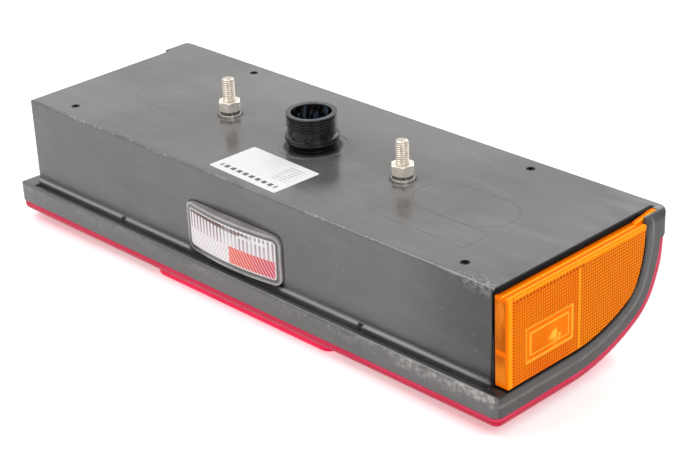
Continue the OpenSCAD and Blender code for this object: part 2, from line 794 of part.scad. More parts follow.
// Ribs of the number plate lens: upright above, slanting apart below
module plate_ribs() {
    b = plate_border + 0.6;
    rib = rib_pitch * 0.45;
    split = plate_z - 0.6;
    n = floor((plate_l / 2 - b) / rib_pitch);
    intersection() {
        plate_outline(-b);
        union() {
            for (i = [-n:n]) translate([plate_x + i * rib_pitch - rib / 2, split]) square([rib, plate_h]);
            for (s = [-1, 1]) intersection() {
                translate([plate_x + (s < 0 ? -plate_l : 0.7), split - plate_h])
                    square([plate_l - 0.7, plate_h - 0.7]);
                for (i = [-1:n + 7])
                    translate([plate_x + s * i * rib_pitch, split]) rotate(s * -32)
                        translate([-rib / 2, -plate_h]) square([rib, plate_h]);
            }
        }
    }
}

module number_plate_lens() {
    flange_y = near_y + wall + plate_seal_t;
    color("whitesmoke") union() {
        difference() {
            intersection() {
                along_y(near_y - plate_proud - plate_bulge - 1, flange_y + plate_t)
                    plate_outline(-fit / 2);
                plate_barrel(0);
            }
            intersection() {
                along_y(near_y - plate_proud - plate_bulge, flange_y + plate_t + 1)
                    plate_outline(-plate_border);
                plate_barrel(plate_t);
            }
        }
        intersection() {
            along_y(near_y - plate_proud - plate_bulge, near_y) plate_ribs();
            difference() {
                plate_barrel(plate_t - 0.2);
                plate_barrel(plate_t + 0.8);
            }
        }
        along_y(flange_y, flange_y + plate_t) difference() {
            plate_outline(plate_lap);
            plate_outline(-plate_border + 0.5);
        }
    }
}

module number_plate_seal() {
    y = near_y + wall;
    color("black") along_y(y + snug / 2, y + plate_seal_t - snug / 2) difference() {
        plate_outline(plate_lap - 0.3);
        plate_outline(0.3);
    }
}

// White reflector: a floor with bulb openings, partitions down to the lens
module reflector_insert() {
    color("white") difference() {
        union() {
            between(floor_z - floor_t, floor_z - snug)
                polygon(rounded(insert_x0, insert_y0, insert_x1, insert_y1, 4, 8));
            intersection() {
                union() {
                    for (x = partitions)
                        translate([x - floor_t / 2, insert_y0, -far_cut / 4])
                            cube([floor_t, insert_y1 - insert_y0, far_cut / 4 + floor_z - floor_t / 2]);
                    // Side walls, left open behind the number plate lens
                    for (y = [insert_y0, insert_y1 - floor_t])
                        translate([insert_x0, y, -far_cut / 4])
                            cube([insert_x1 - insert_x0, floor_t, far_cut / 4 + floor_z - floor_t / 2]);
                }
                along_x(flange_x0, flange_x1) polygon(rim_pts(-1.5, flange_y0, 0));
            }
        }
        for (x = bulbs) translate([x, bulb_y, floor_z - floor_t - 1])
            cylinder(d = holder_d + 2 * fit, h = floor_t + 2, $fn = 64);
        for (p = stakes) translate([p[0], p[1], floor_z - floor_t - 1])
            cylinder(d = stake_d + fit, h = floor_t + 2, $fn = 32);
        for (p = screws) translate([p[0], p[1], -far_cut / 4])
            cylinder(d = tube_d + 1, h = far_cut / 4, $fn = 48);
        translate([partitions[1] + floor_t / 2, insert_y0 - 1, -far_cut / 4])
            cube([partitions[2] - partitions[1] - floor_t, floor_t + 2, far_cut / 4 + floor_z - floor_t]);
    }
}

// Bayonet holder of a bulb: a sleeve with a flange that lies on the reflector floor
module bulb_holder(x) {
    lip = 1;
    h = sleeve_h + floor_t + lip;
    bottom = floor_z - floor_t - lip;
    color("silver") translate([x, bulb_y, 0]) {
        difference() {
            union() {
                translate([0, 0, bottom]) cylinder(d = holder_d, h = h, $fn = 64);
                translate([0, 0, floor_z]) cylinder(d = holder_flange_d, h = holder_flange_t, $fn = 64);
            }
            translate([0, 0, bottom - lip]) cylinder(d = cap_d + fit, h = h, $fn = 64);
            translate([-holder_d / 2 - 1, -slot_w / 2, bottom - lip])
                cube([holder_d + 2, slot_w, slot_h]);
        }
        translate([0, 0, holder_top - contact_drop]) cylinder(d = contact_d, h = contact_h, $fn = 32);
    }
}

module fog_bulb_holder() bulb_holder(fog_x);
module reversing_bulb_holder() bulb_holder(reversing_x);
module tail_bulb_holder() bulb_holder(tail_x);
module stop_bulb_holder() bulb_holder(stop_x);
module indicator_bulb_holder() bulb_holder(indicator_x);
module marker_bulb_holder() bulb_holder(marker_x);

// Bulb: round glass on a cap with two bayonet pins
module bulb(x, d, tint) {
    cap_top = holder_top - contact_drop - snug;
    cap_taper = 2;
    r = d / 2;
    neck = cap_bottom - 1;
    color(tint) translate([x, bulb_y, 0]) {
        rotate_extrude($fn = 48) union() {
            translate([0, cap_bottom]) square([cap_d / 2, cap_top - cap_bottom - cap_taper]);
            polygon([[0, cap_top - cap_taper], [cap_d / 2, cap_top - cap_taper],
                     [cap_d / 5, cap_top], [0, cap_top]]);
            translate([0, neck - r * 0.6]) square([min(r * 0.6, cap_d / 2 - 1), r * 0.6 + 1.5]);
            intersection() {
                translate([0, neck - r]) circle(r = r, $fn = 96);
                translate([0, -far_cut / 2]) square([r + 1, far_cut / 2]);
            }
        }
        translate([-cap_d / 2 - bulb_pin_out, 0, floor_z - floor_t + 1]) rotate([0, 90, 0])
            cylinder(d = bulb_pin_d, h = cap_d + 2 * bulb_pin_out, $fn = 24);
    }
}

module fog_bulb() bulb(fog_x, bulb_d, "lightcyan");
module reversing_bulb() bulb(reversing_x, bulb_d, "lightcyan");
module tail_bulb() bulb(tail_x, bulb_d, "lightcyan");
module stop_bulb() bulb(stop_x, bulb_d, "lightcyan");
module indicator_bulb() bulb(indicator_x, bulb_d, "orange");
module marker_bulb() bulb(marker_x, marker_bulb_d, "lightcyan");

// Stamped strips between the holders and the connector
strip_w = 2.6;
strip_t = 0.8;
strip_z = pin_end - snug;
pad_d = 7;
lane_gap = 4.5;
lane_near = bulb_y + 2 * lane_gap;
lane_mid = bulb_y + 3 * lane_gap;
lane_far = bulb_y + 8 * lane_gap;
lane_earth = bulb_y + 9.5 * lane_gap;

module leg(a, b, z) {
    translate([min(a[0], b[0]) - strip_w / 2, min(a[1], b[1]) - strip_w / 2, z - strip_t])
        cube([abs(a[0] - b[0]) + strip_w, abs(a[1] - b[1]) + strip_w, strip_t]);
}

module strip(route) {
    for (i = [0:len(route) - 2]) leg(route[i], route[i + 1], strip_z);
    translate([route[0][0], route[0][1], strip_z - strip_t - 0.1])
        cylinder(d = pad_d, h = strip_t + 0.1, $fn = 32);
}

module contact_strips() {
    color("goldenrod") {
        strip([[fog_x, bulb_y], [fog_x, lane_mid], [pins[4][0], lane_mid], pins[4]]);
        strip([[reversing_x, bulb_y], [reversing_x, lane_near], [pins[5][0], lane_near], pins[5]]);
        strip([[tail_x, bulb_y], [tail_x, bulb_y + 1], [0, bulb_y + 1], pins[0]]);
        strip([[stop_x, bulb_y], [stop_x, lane_near], [pins[6][0], lane_near], pins[6]]);
        strip([[indicator_x, bulb_y], [indicator_x, lane_mid], [pins[1][0], lane_mid], pins[1]]);
        strip([[marker_x, bulb_y], [marker_x, lane_far], [pins[2][0], lane_far], pins[2]]);
    }
}

// Earth strip along the holder flanges, with a riser to the last pin
module earth_strip() {
    y = bulb_y - holder_flange_d / 2;
    z = floor_z + holder_flange_t + snug + strip_t;
    riser_x = partitions[0] - stake_boss_d;
    color("goldenrod") union() {
        leg([fog_x, y], [marker_x, y], z);
        leg([riser_x, y], [riser_x, lane_earth], z);
        translate([riser_x - strip_w / 2, lane_earth - strip_w / 2, z - strip_t])
            cube([strip_w, strip_t, strip_z - z + strip_t]);
        leg([riser_x, lane_earth], [pins[3][0], lane_earth], strip_z);
        leg([pins[3][0], lane_earth], pins[3], strip_z);
    }
}

// Round bayonet connector
module connector_socket() {
    pitch = (socket_h - 1.6 - ring_z) / ring_n;
    body_d = socket_d - 1.6;
    color("black") difference() {
        union() {
            translate([0, 0, -spigot_reach]) cylinder(d = spigot_d, h = spigot_reach + 1, $fn = 96);
            cylinder(d = neck_d, h = collar_z, $fn = 96);
            translate([0, 0, 1]) cylinder(d = body_d, h = socket_h - 1, $fn = 96);
            rotate_extrude($fn = 96)
                polygon([[neck_d / 2 - 1, collar_z - 5.8], [neck_d / 2, collar_z - 5.8],
                         [collar_d / 2, collar_z - 1.3], [collar_d / 2, collar_z + 1.4],
                         [body_d / 2, collar_z + 2.2], [neck_d / 2 - 1, collar_z + 2.2]]);
            // Rings of the upper half, cut away at the three bayonet tracks
            difference() {
                for (i = [0:ring_n - 1]) translate([0, 0, ring_z + i * pitch]) rotate_extrude($fn = 96)
                    polygon([[body_d / 2 - 0.5, 0], [body_d / 2, 0], [socket_d / 2, pitch * 0.28],
                             [socket_d / 2, pitch * 0.44], [body_d / 2, pitch * 0.72],
                             [body_d / 2 - 0.5, pitch * 0.72]]);
                for (k = [0:2]) rotate(track_a + 120 * k)
                    translate([0, -2.2, ring_z - 1]) cube([socket_d, 4.4, socket_h]);
            }
            translate([0, 0, socket_h - 1.4]) cylinder(d = socket_d, h = 1.4, $fn = 96);
        }
        // Mouth, floor and hollow spigot
        translate([0, 0, socket_floor_z]) cylinder(d = mouth_d, h = socket_h, $fn = 96);
        translate([0, 0, -spigot_reach - 1])
            cylinder(d = spigot_d - 4, h = spigot_reach + 1 + socket_floor_z - socket_floor_t, $fn = 96);
        for (p = pins) translate([p[0], p[1], -5]) cylinder(d = pin_d + snug, h = 10, $fn = 32);
        // Lower run of each track, ending in its keyhole
        for (k = [0:2]) rotate(track_a - track_turn + 120 * k) {
            rotate_extrude(angle = track_turn, $fn = 96)
                translate([socket_d / 2 - 1.2, track_z]) square([4, 2.2]);
            translate([socket_d / 2 - 1.2, 0, track_z + 0.9]) rotate([0, 90, 0])
                cylinder(d = 3, h = 4, $fn = 32);
        }
    }
}

module contact_pins() {
    color("gold") for (p = pins) translate([p[0], p[1], pin_end]) {
        cylinder(d = pin_d, h = pin_reach - pin_end, $fn = 32);
        translate([0, 0, pin_reach - pin_end]) sphere(d = pin_d - 0.2, $fn = 32);
    }
}

module connector_seal() {
    color("darkred") translate([0, 0, -seal_t + snug / 2]) difference() {
        cylinder(d = neck_d - 0.6, h = seal_t - snug, $fn = 96);
        translate([0, 0, -1]) cylinder(d = spigot_d + snug, h = seal_t + 2, $fn = 96);
    }
}

// Stud: a hexagon head bolt put in from the inside. Up to the top of the nut it has the pitch
// diameter of its thread, where shaft and nut meet; the free end above has the full diameter.
module mounting_studs() {
    c = stud_d * 0.12;
    free_z = nut_z + nut_h + snug;
    color("silver") stud_places() {
        translate([0, 0, -stud_seat - head_h]) hex(nut_af, head_h);
        translate([0, 0, -stud_seat - 0.5]) cylinder(d = pitch_d, h = free_z + stud_seat + 1, $fn = 64);
        translate([0, 0, free_z]) cylinder(d = stud_d, h = stud_reach - c - free_z, $fn = 64);
        translate([0, 0, stud_reach - c]) cylinder(d1 = stud_d, d2 = stud_d - 2 * c, h = c, $fn = 64);
    }
}

module flat_washers() {
    color("silver") stud_places() difference() {
        cylinder(d = washer_d, h = washer_t, $fn = 64);
        translate([0, 0, -1]) cylinder(d = stud_d + fit, h = washer_t + 2, $fn = 64);
    }
}

// Split washer: a ring with a slanting cut
module spring_washers() {
    spring_d = min(washer_d - 0.6, nut_af + 0.6);
    color("silver") stud_places() translate([0, 0, washer_t]) difference() {
        cylinder(d = spring_d, h = spring_t, $fn = 64);
        translate([0, 0, -1]) cylinder(d = stud_d + fit, h = spring_t + 2, $fn = 64);
        rotate(-40) translate([stud_d / 2 - 1, 0, spring_t / 2]) rotate([25, 0, 0])
            translate([0, -0.4, -spring_t]) cube([spring_d, 0.8, 2 * spring_t]);
    }
}

// Nut with both faces chamfered by a cone
module stud_nuts() {
    e = nut_af / cos(30);
    rise = (e - nut_af) / 2 * 0.58;
    color("silver") stud_places() translate([0, 0, nut_z]) rotate(nut_turn) difference() {
        intersection() {
            hex(nut_af, nut_h);
            rotate_extrude($fn = 96)
                polygon([[0, 0], [nut_af / 2 - 0.2, 0], [e / 2 + 0.1, rise], [e / 2 + 0.1, nut_h - rise],
                         [nut_af / 2 - 0.2, nut_h], [0, nut_h]]);
        }
        translate([0, 0, -1]) cylinder(d = pitch_d + snug, h = nut_h + 2, $fn = 64);
    }
}

module lens_screws() {
    color("silver") for (p = screws) {
        head_z = -p[2] - seam - tube_floor;
        translate([p[0], p[1], head_z - screw_head_h - snug]) difference() {
            union() {
                cylinder(d = screw_head_d, h = screw_head_h, $fn = 48);
                cylinder(d = screw_d - snug, h = screw_head_h + tube_floor + screw_bite, $fn = 48);
            }
            for (a = [0, 90]) rotate(a) translate([-2.2, -0.4, -1]) cube([4.4, 0.8, 2.4]);
        }
    }
}

// Paper label, stuck on slightly askew
label_t = 0.15;
label_in = 24.4;
label_at = [3.6, near_y + label_in, 0];
label_turn = -1.9;

module back_label() {
    color("white") translate(label_at) rotate(label_turn)
        translate([-label_l / 2, -label_w / 2, 0]) cube([label_l, label_w, label_t]);
}

housing();
main_lens();
reversing_window();
indicator_window();
reflex_reflector();
lens_gasket();
side_marker_lens();
side_marker_seal();
number_plate_lens();
number_plate_seal();
reflector_insert();
fog_bulb_holder();
reversing_bulb_holder();
tail_bulb_holder();
stop_bulb_holder();
indicator_bulb_holder();
marker_bulb_holder();
fog_bulb();
reversing_bulb();
tail_bulb();
stop_bulb();
indicator_bulb();
marker_bulb();
contact_strips();
earth_strip();
connector_socket();
contact_pins();
connector_seal();
mounting_studs();
flat_washers();
spring_washers();
stud_nuts();
lens_screws();
back_label();
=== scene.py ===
"""Looks of a rear lamp cluster for a truck or trailer, lying on its lens with the mounting face up.

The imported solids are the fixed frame. Each sub-assembly is a class: its fields are the sizes in
millimetres, its methods build surfaces with numpy and dress them with procedural finishes.
"""
from __future__ import annotations

import json
import logging
import math
from dataclasses import dataclass, field
from enum import Enum

import bmesh
import bpy
import numpy as np
from mathutils import Matrix, Vector

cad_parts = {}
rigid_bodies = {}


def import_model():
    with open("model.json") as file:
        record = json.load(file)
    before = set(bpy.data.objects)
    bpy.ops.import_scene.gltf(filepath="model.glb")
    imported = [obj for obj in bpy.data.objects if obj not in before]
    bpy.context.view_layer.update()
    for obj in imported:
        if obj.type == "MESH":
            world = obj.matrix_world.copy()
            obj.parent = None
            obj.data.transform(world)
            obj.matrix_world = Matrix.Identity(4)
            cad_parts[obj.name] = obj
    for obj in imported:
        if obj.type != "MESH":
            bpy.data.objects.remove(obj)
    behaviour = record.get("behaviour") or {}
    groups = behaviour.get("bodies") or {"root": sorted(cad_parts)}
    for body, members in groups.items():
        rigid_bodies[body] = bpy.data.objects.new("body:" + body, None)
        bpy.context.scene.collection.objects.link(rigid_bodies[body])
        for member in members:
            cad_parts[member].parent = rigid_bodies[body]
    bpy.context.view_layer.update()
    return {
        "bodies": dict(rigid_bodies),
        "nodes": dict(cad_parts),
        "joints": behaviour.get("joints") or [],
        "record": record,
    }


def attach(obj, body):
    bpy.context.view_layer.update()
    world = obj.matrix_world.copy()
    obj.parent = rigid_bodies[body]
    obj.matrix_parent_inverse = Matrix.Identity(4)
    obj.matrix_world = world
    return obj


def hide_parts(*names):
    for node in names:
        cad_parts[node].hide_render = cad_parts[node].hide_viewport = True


MM = 0.001
LOG = logging.getLogger("lamp")

Socket = bpy.types.NodeSocket
Colour = tuple[float, float, float]
Triple = tuple[float, float, float]
Pair = tuple[float, float]
Box = tuple[float, float, float, float]


# Mesh helpers


def grid_faces(rows: int, columns: int, close_rows: bool, close_columns: bool) -> np.ndarray:
    """Quads that join the points of a grid stored row by row.

    Args:
        rows: number of rows of points.
        columns: number of points in a row.
        close_rows: joins the last row to the first.
        close_columns: joins the end of each row to its start.

    Returns:
        An array of four point numbers for each quad.
    """
    i = np.arange(rows if close_rows else rows - 1)
    j = np.arange(columns if close_columns else columns - 1)
    a, b = np.meshgrid(i, j, indexing="ij")
    a2, b2 = (a + 1) % rows, (b + 1) % columns
    quads = np.stack([a * columns + b, a * columns + b2, a2 * columns + b2, a2 * columns + b], -1)
    return quads.reshape(-1, 4)


def end_strip(first: int, columns: int) -> np.ndarray:
    """Quads that close the end of a folded sheet: its row runs out along the front and back along
    the other side.

    Args:
        first: number of the row's first point.
        columns: number of points in the row.

    Returns:
        An array of four point numbers for each quad.
    """
    j = np.arange(columns // 2 - 1)
    return first + np.stack([j, j + 1, columns - 2 - j, columns - 1 - j], -1)


def half_width(v: np.ndarray, length: float, width: float, corner: float) -> np.ndarray:
    """Half the length of a rectangle with round corners at a distance v from its middle line: the
    straight half, less what the arc of the corner takes away.

    Args:
        v: distances from the middle line.
        length: length of the rectangle.
        width: width of the rectangle.
        corner: radius of its corners.

    Returns:
        Half the length at each distance.
    """
    past = np.clip(np.abs(v) - (width / 2 - corner), 0.0, corner)
    return length / 2 - corner + np.sqrt(np.maximum(corner**2 - past**2, 0.0))


def folded_sheet(name: str, front: np.ndarray, back: np.ndarray,
                 smooth_angle: float = 40.0) -> bpy.types.Object:
    """Makes a closed piece of two sheets with one outline: each row runs out along the front and
    comes back along the back, and strips close the first row and the last.

    Args:
        name: name of the piece.
        front: rows of points of the front.
        back: rows of points of the back, in the same order.
        smooth_angle: edges sharper than this, in degrees, stay sharp.

    Returns:
        The new object.
    """
    points = np.concatenate([front, back[:, ::-1]], 1)
    rows, columns = points.shape[:2]
    faces = [grid_faces(rows, columns, False, True)]
    faces += [end_strip(row * columns, columns) for row in (0, rows - 1)]
    return mesh_object(name, points, np.concatenate(faces), smooth_angle)


def mesh_object(name: str, points: np.ndarray, quads: np.ndarray, smooth_angle: float = 40.0,
                rise: np.ndarray | None = None) -> bpy.types.Object:
    """Makes a closed mesh from points in millimetres: merges doubles, turns faces outwards.

    Args:
        name: name of the piece.
        points: point places, in millimetres, in the row frame.
        quads: four point numbers for each face.
        smooth_angle: edges sharper than this, in degrees, stay sharp.
        rise: a number for each point, kept as the attribute "rise" for the finish.

    Returns:
        The new object, at the origin.
    """
    mesh = bpy.data.meshes.new(name)
    mesh.from_pydata((points.reshape(-1, 3) * MM).tolist(), [], quads.tolist())
    if rise is not None:
        mesh.attributes.new("rise", "FLOAT", "POINT").data.foreach_set("value", rise.astype(np.float32))
    work = bmesh.new()
    work.from_mesh(mesh)
    bmesh.ops.remove_doubles(work, verts=work.verts, dist=1e-6)
    bmesh.ops.dissolve_degenerate(work, edges=work.edges, dist=1e-7)
    bmesh.ops.recalc_face_normals(work, faces=work.faces)
    work.to_mesh(mesh)
    work.free()
    mesh.polygons.foreach_set("use_smooth", [True] * len(mesh.polygons))
    mesh.set_sharp_from_angle(angle=math.radians(smooth_angle))
    piece = bpy.data.objects.new(name, mesh)
    bpy.context.scene.collection.objects.link(piece)
    return piece


def place(piece: bpy.types.Object, material: bpy.types.Material, slot: str, *nodes: str) -> None:
    """Gives a new piece its material, attaches it to the root body and hides the solids that it stands
    for.

    Args:
        piece: the new piece.
        material: its finish.
        slot: the record's material slot; not used.
        nodes: names of the solids that it replaces.
    """
    piece.data.materials.append(material)
    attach(piece, "root")
    if nodes:
        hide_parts(*nodes)
    LOG.info("piece %s: %d faces", piece.name, len(piece.data.polygons))


def dress(nodes: dict[str, bpy.types.Object], material: bpy.types.Material, *names: str) -> None:
    """Puts a finish on solids of the frame.

    Args:
        nodes: the frame's solids by name.
        material: the finish.
        names: the solids that get it.
    """
    for name in names:
        for slot in nodes[name].material_slots:
            slot.material = material
        LOG.info("dressed %s with %s", name, material.name)


# Node helper


class Shade:
    """A material under construction: one Principled shader and short calls for the usual nodes."""

    def __init__(self, name: str) -> None:
        """Starts an empty material with its shader and output."""
        self.material = bpy.data.materials.new(name)
        self.material.use_nodes = True
        self.tree = self.material.node_tree
        self.tree.nodes.clear()
        self.output = self.add("ShaderNodeOutputMaterial")
        self.shader = self.add("ShaderNodeBsdfPrincipled")
        self.link(self.shader.outputs[0], self.output.inputs["Surface"])
        self.point = self.add("ShaderNodeTexCoord").outputs["Object"]
        parts = self.add("ShaderNodeSeparateXYZ")
        self.link(self.point, parts.inputs[0])
        self.x, self.y, self.z = parts.outputs

    def add(self, kind: str) -> bpy.types.Node:
        """Adds a node of a kind."""
        return self.tree.nodes.new(kind)

    def link(self, source: Socket, target: Socket) -> None:
        """Joins two sockets."""
        self.tree.links.new(source, target)

    def feed(self, target: Socket, value: Socket | float | tuple) -> None:
        """Links a socket, or sets a plain value on it.

        Args:
            target: the socket that takes the value.
            value: another socket, a number or a colour.
        """
        if isinstance(value, bpy.types.NodeSocket):
            self.link(value, target)
        else:
            target.default_value = value

    def set(self, **values: object) -> None:
        """Sets or links shader sockets; an underscore stands for a space in the socket's name.

        Args:
            values: the new value or the source of each socket.
        """
        for key, value in values.items():
            socket = self.shader.inputs[key.replace("_", " ")]
            if isinstance(value, tuple) and socket.type == "RGBA":
                value = (*value, 1.0)
            self.feed(socket, value)

    def math(self, operation: str, a: Socket | float, b: Socket | float = 0.0) -> Socket:
        """One Math node.

        Args:
            operation: what it does with its inputs.
            a: first input.
            b: second input, for operations that have one.

        Returns:
            The result.
        """
        node = self.add("ShaderNodeMath")
        node.operation = operation
        self.feed(node.inputs[0], a)
        self.feed(node.inputs[1], b)
        return node.outputs[0]

    def times(self, *values: Socket | float) -> Socket:
        """Product of several values.

        Args:
            values: the factors.

        Returns:
            The product.
        """
        result = values[0]
        for value in values[1:]:
            result = self.math("MULTIPLY", result, value)
        return result

    def largest(self, *values: Socket | float) -> Socket:
        """Largest of several values.

        Args:
            values: the values.

        Returns:
            The largest.
        """
        result = values[0]
        for value in values[1:]:
            result = self.math("MAXIMUM", result, value)
        return result

    def ease(self, value: Socket, low: float, high: float, start: float = 0.0, end: float = 1.0) -> Socket:
        """Smooth step from start at low to end at high.

        Args:
            value: the value that is mapped.
            low: where the step begins.
            high: where it ends.
            start: result below low.
            end: result above high.

        Returns:
            The mapped value.
        """
        node = self.add("ShaderNodeMapRange")
        node.interpolation_type = "SMOOTHSTEP"
        self.feed(node.inputs["Value"], value)
        for key, number in (("From Min", low), ("From Max", high), ("To Min", start), ("To Max", end)):
            node.inputs[key].default_value = number
        return node.outputs["Result"]

    def step(self, value: Socket, low: float, high: float, start: float = 0.0, end: float = 1.0) -> Socket:
        """Smooth step from start to end, like ease, with low and high in millimetres."""
        return self.ease(value, low * MM, high * MM, start, end)

    def off(self, value: Socket, middle: float) -> Socket:
        """How far a value lies from middle, to either side; middle is in millimetres."""
        return self.math("ABSOLUTE", self.math("SUBTRACT", value, middle * MM))

    def length(self, u: Socket, v: Socket) -> Socket:
        """Length of the vector (u, v)."""
        return self.math("SQRT", self.math("ADD", self.times(u, u), self.times(v, v)))

    def near(self, value: Socket, middle: float, reach: float) -> Socket:
        """One where value is within reach of middle, in millimetres, falling smoothly to zero."""
        return self.step(self.off(value, middle), reach * 0.45, reach, 1.0, 0.0)

    def noise(self, scale: float, detail: float = 3.0, roughness: float = 0.55,
              stretch: Triple = (1.0, 1.0, 1.0)) -> Socket:
        """Noise on the object's own coordinates.

        Args:
            scale: features for each metre.
            detail: number of finer layers.
            roughness: strength of the finer layers.
            stretch: factors on the three coordinates; a small one draws the noise out that way.

        Returns:
            The noise, about one half on average.
        """
        place_node = self.add("ShaderNodeMapping")
        self.link(self.point, place_node.inputs["Vector"])
        place_node.inputs["Scale"].default_value = stretch
        node = self.add("ShaderNodeTexNoise")
        self.link(place_node.outputs[0], node.inputs["Vector"])
        node.inputs["Scale"].default_value = scale
        node.inputs["Detail"].default_value = detail
        node.inputs["Roughness"].default_value = roughness
        return node.outputs["Fac"]

    def mix(self, share: Socket | float, first: Socket | Colour, second: Socket | Colour) -> Socket:
        """Blends two colours.

        Args:
            share: share of the second colour.
            first: first colour.
            second: second colour.

        Returns:
            The blend.
        """
        node = self.add("ShaderNodeMix")
        node.data_type = "RGBA"
        self.feed(node.inputs[0], share)
        for socket, colour in ((node.inputs[6], first), (node.inputs[7], second)):
            self.feed(socket, (*colour, 1.0) if isinstance(colour, tuple) else colour)
        return node.outputs[2]

    def mix_value(self, share: Socket, first: Socket | float, second: Socket | float) -> Socket:
        """Blends two numbers."""
        return self.math("ADD", self.times(self.rest(share), first), self.times(share, second))

    def wave(self, value: Socket, pitch: float) -> Socket:
        """Triangle wave from zero to one with the pitch in millimetres."""
        return self.math("PINGPONG", self.math("MULTIPLY", value, 2.0 / (pitch * MM)), 1.0)

    def within(self, value: Socket, low: float, high: float, soft: float = 0.3) -> Socket:
        """One where value lies between low and high, in millimetres, with soft ends."""
        return self.times(self.step(value, low - soft, low), self.step(value, high, high + soft, 1.0, 0.0))

    def rest(self, share: Socket) -> Socket:
        """What is left of a share up to one."""
        return self.math("SUBTRACT", 1.0, share)

    def from_box(self, u: Socket, v: Socket, box: Box, corner: float = 0.0) -> Socket:
        """Distance from the outline of a box with round corners in metres, negative inside.

        Args:
            u: first coordinate.
            v: second coordinate.
            box: lowest and highest u, then lowest and highest v, in millimetres.
            corner: radius of the corners, in millimetres.

        Returns:
            The signed distance.
        """
        u0, u1, v0, v1 = box
        past_u = self.math("SUBTRACT", self.off(u, (u0 + u1) / 2), ((u1 - u0) / 2 - corner) * MM)
        past_v = self.math("SUBTRACT", self.off(v, (v0 + v1) / 2), ((v1 - v0) / 2 - corner) * MM)
        outside = self.length(self.math("MAXIMUM", past_u, 0.0), self.math("MAXIMUM", past_v, 0.0))
        inside = self.math("MINIMUM", self.math("MAXIMUM", past_u, past_v), 0.0)
        return self.math("SUBTRACT", self.math("ADD", outside, inside), corner * MM)

    def distance(self, u: Socket, v: Socket, at: Pair) -> Socket:
        """Distance from a point of the plane of u and v; the point is given in millimetres."""
        return self.length(self.math("SUBTRACT", u, at[0] * MM), self.math("SUBTRACT", v, at[1] * MM))

    def from_belly(self, form: LampForm) -> Socket:
        """Distance inwards from the lamp's underside curve in metres.

        It is measured from the flat at first, and from each arc in turn in the sector past that
        arc's first heading.

        Args:
            form: the form that has the curve.

        Returns:
            The distance, positive inside the lamp.
        """
        inset = self.math("ADD", self.z, form.rim_depth * MM)
        for cy, cz, radius, start in form.arcs():
            dy = self.math("SUBTRACT", self.y, cy * MM)
            dz = self.math("SUBTRACT", cz * MM, self.z)
            past = self.math("GREATER_THAN", self.math("ARCTAN2", dy, dz), math.radians(start))
            here = self.math("SUBTRACT", radius * MM, self.distance(self.y, self.z, (cy, cz)))
            inset = self.math("ADD", self.times(inset, self.rest(past)), self.times(here, past))
        return inset

    def relief(self, height: Socket, depth: float, strength: float = 1.0, edge: float = 0.0) -> None:
        """Bump on the shader's normal.

        Args:
            height: height of the bump, as a share of the depth.
            depth: height that a share of one stands for, in millimetres.
            strength: strength of the bump.
            edge: radius that the normal is softened by at the edges, in millimetres.
        """
        node = self.add("ShaderNodeBump")
        node.inputs["Strength"].default_value = strength
        node.inputs["Distance"].default_value = depth * MM
        self.link(height, node.inputs["Height"])
        if edge > 0.0:
            soft = self.add("ShaderNodeBevel")
            soft.samples = 6
            soft.inputs["Radius"].default_value = edge * MM
            self.link(soft.outputs[0], node.inputs["Normal"])
        self.link(node.outputs[0], self.shader.inputs["Normal"])


# Main form


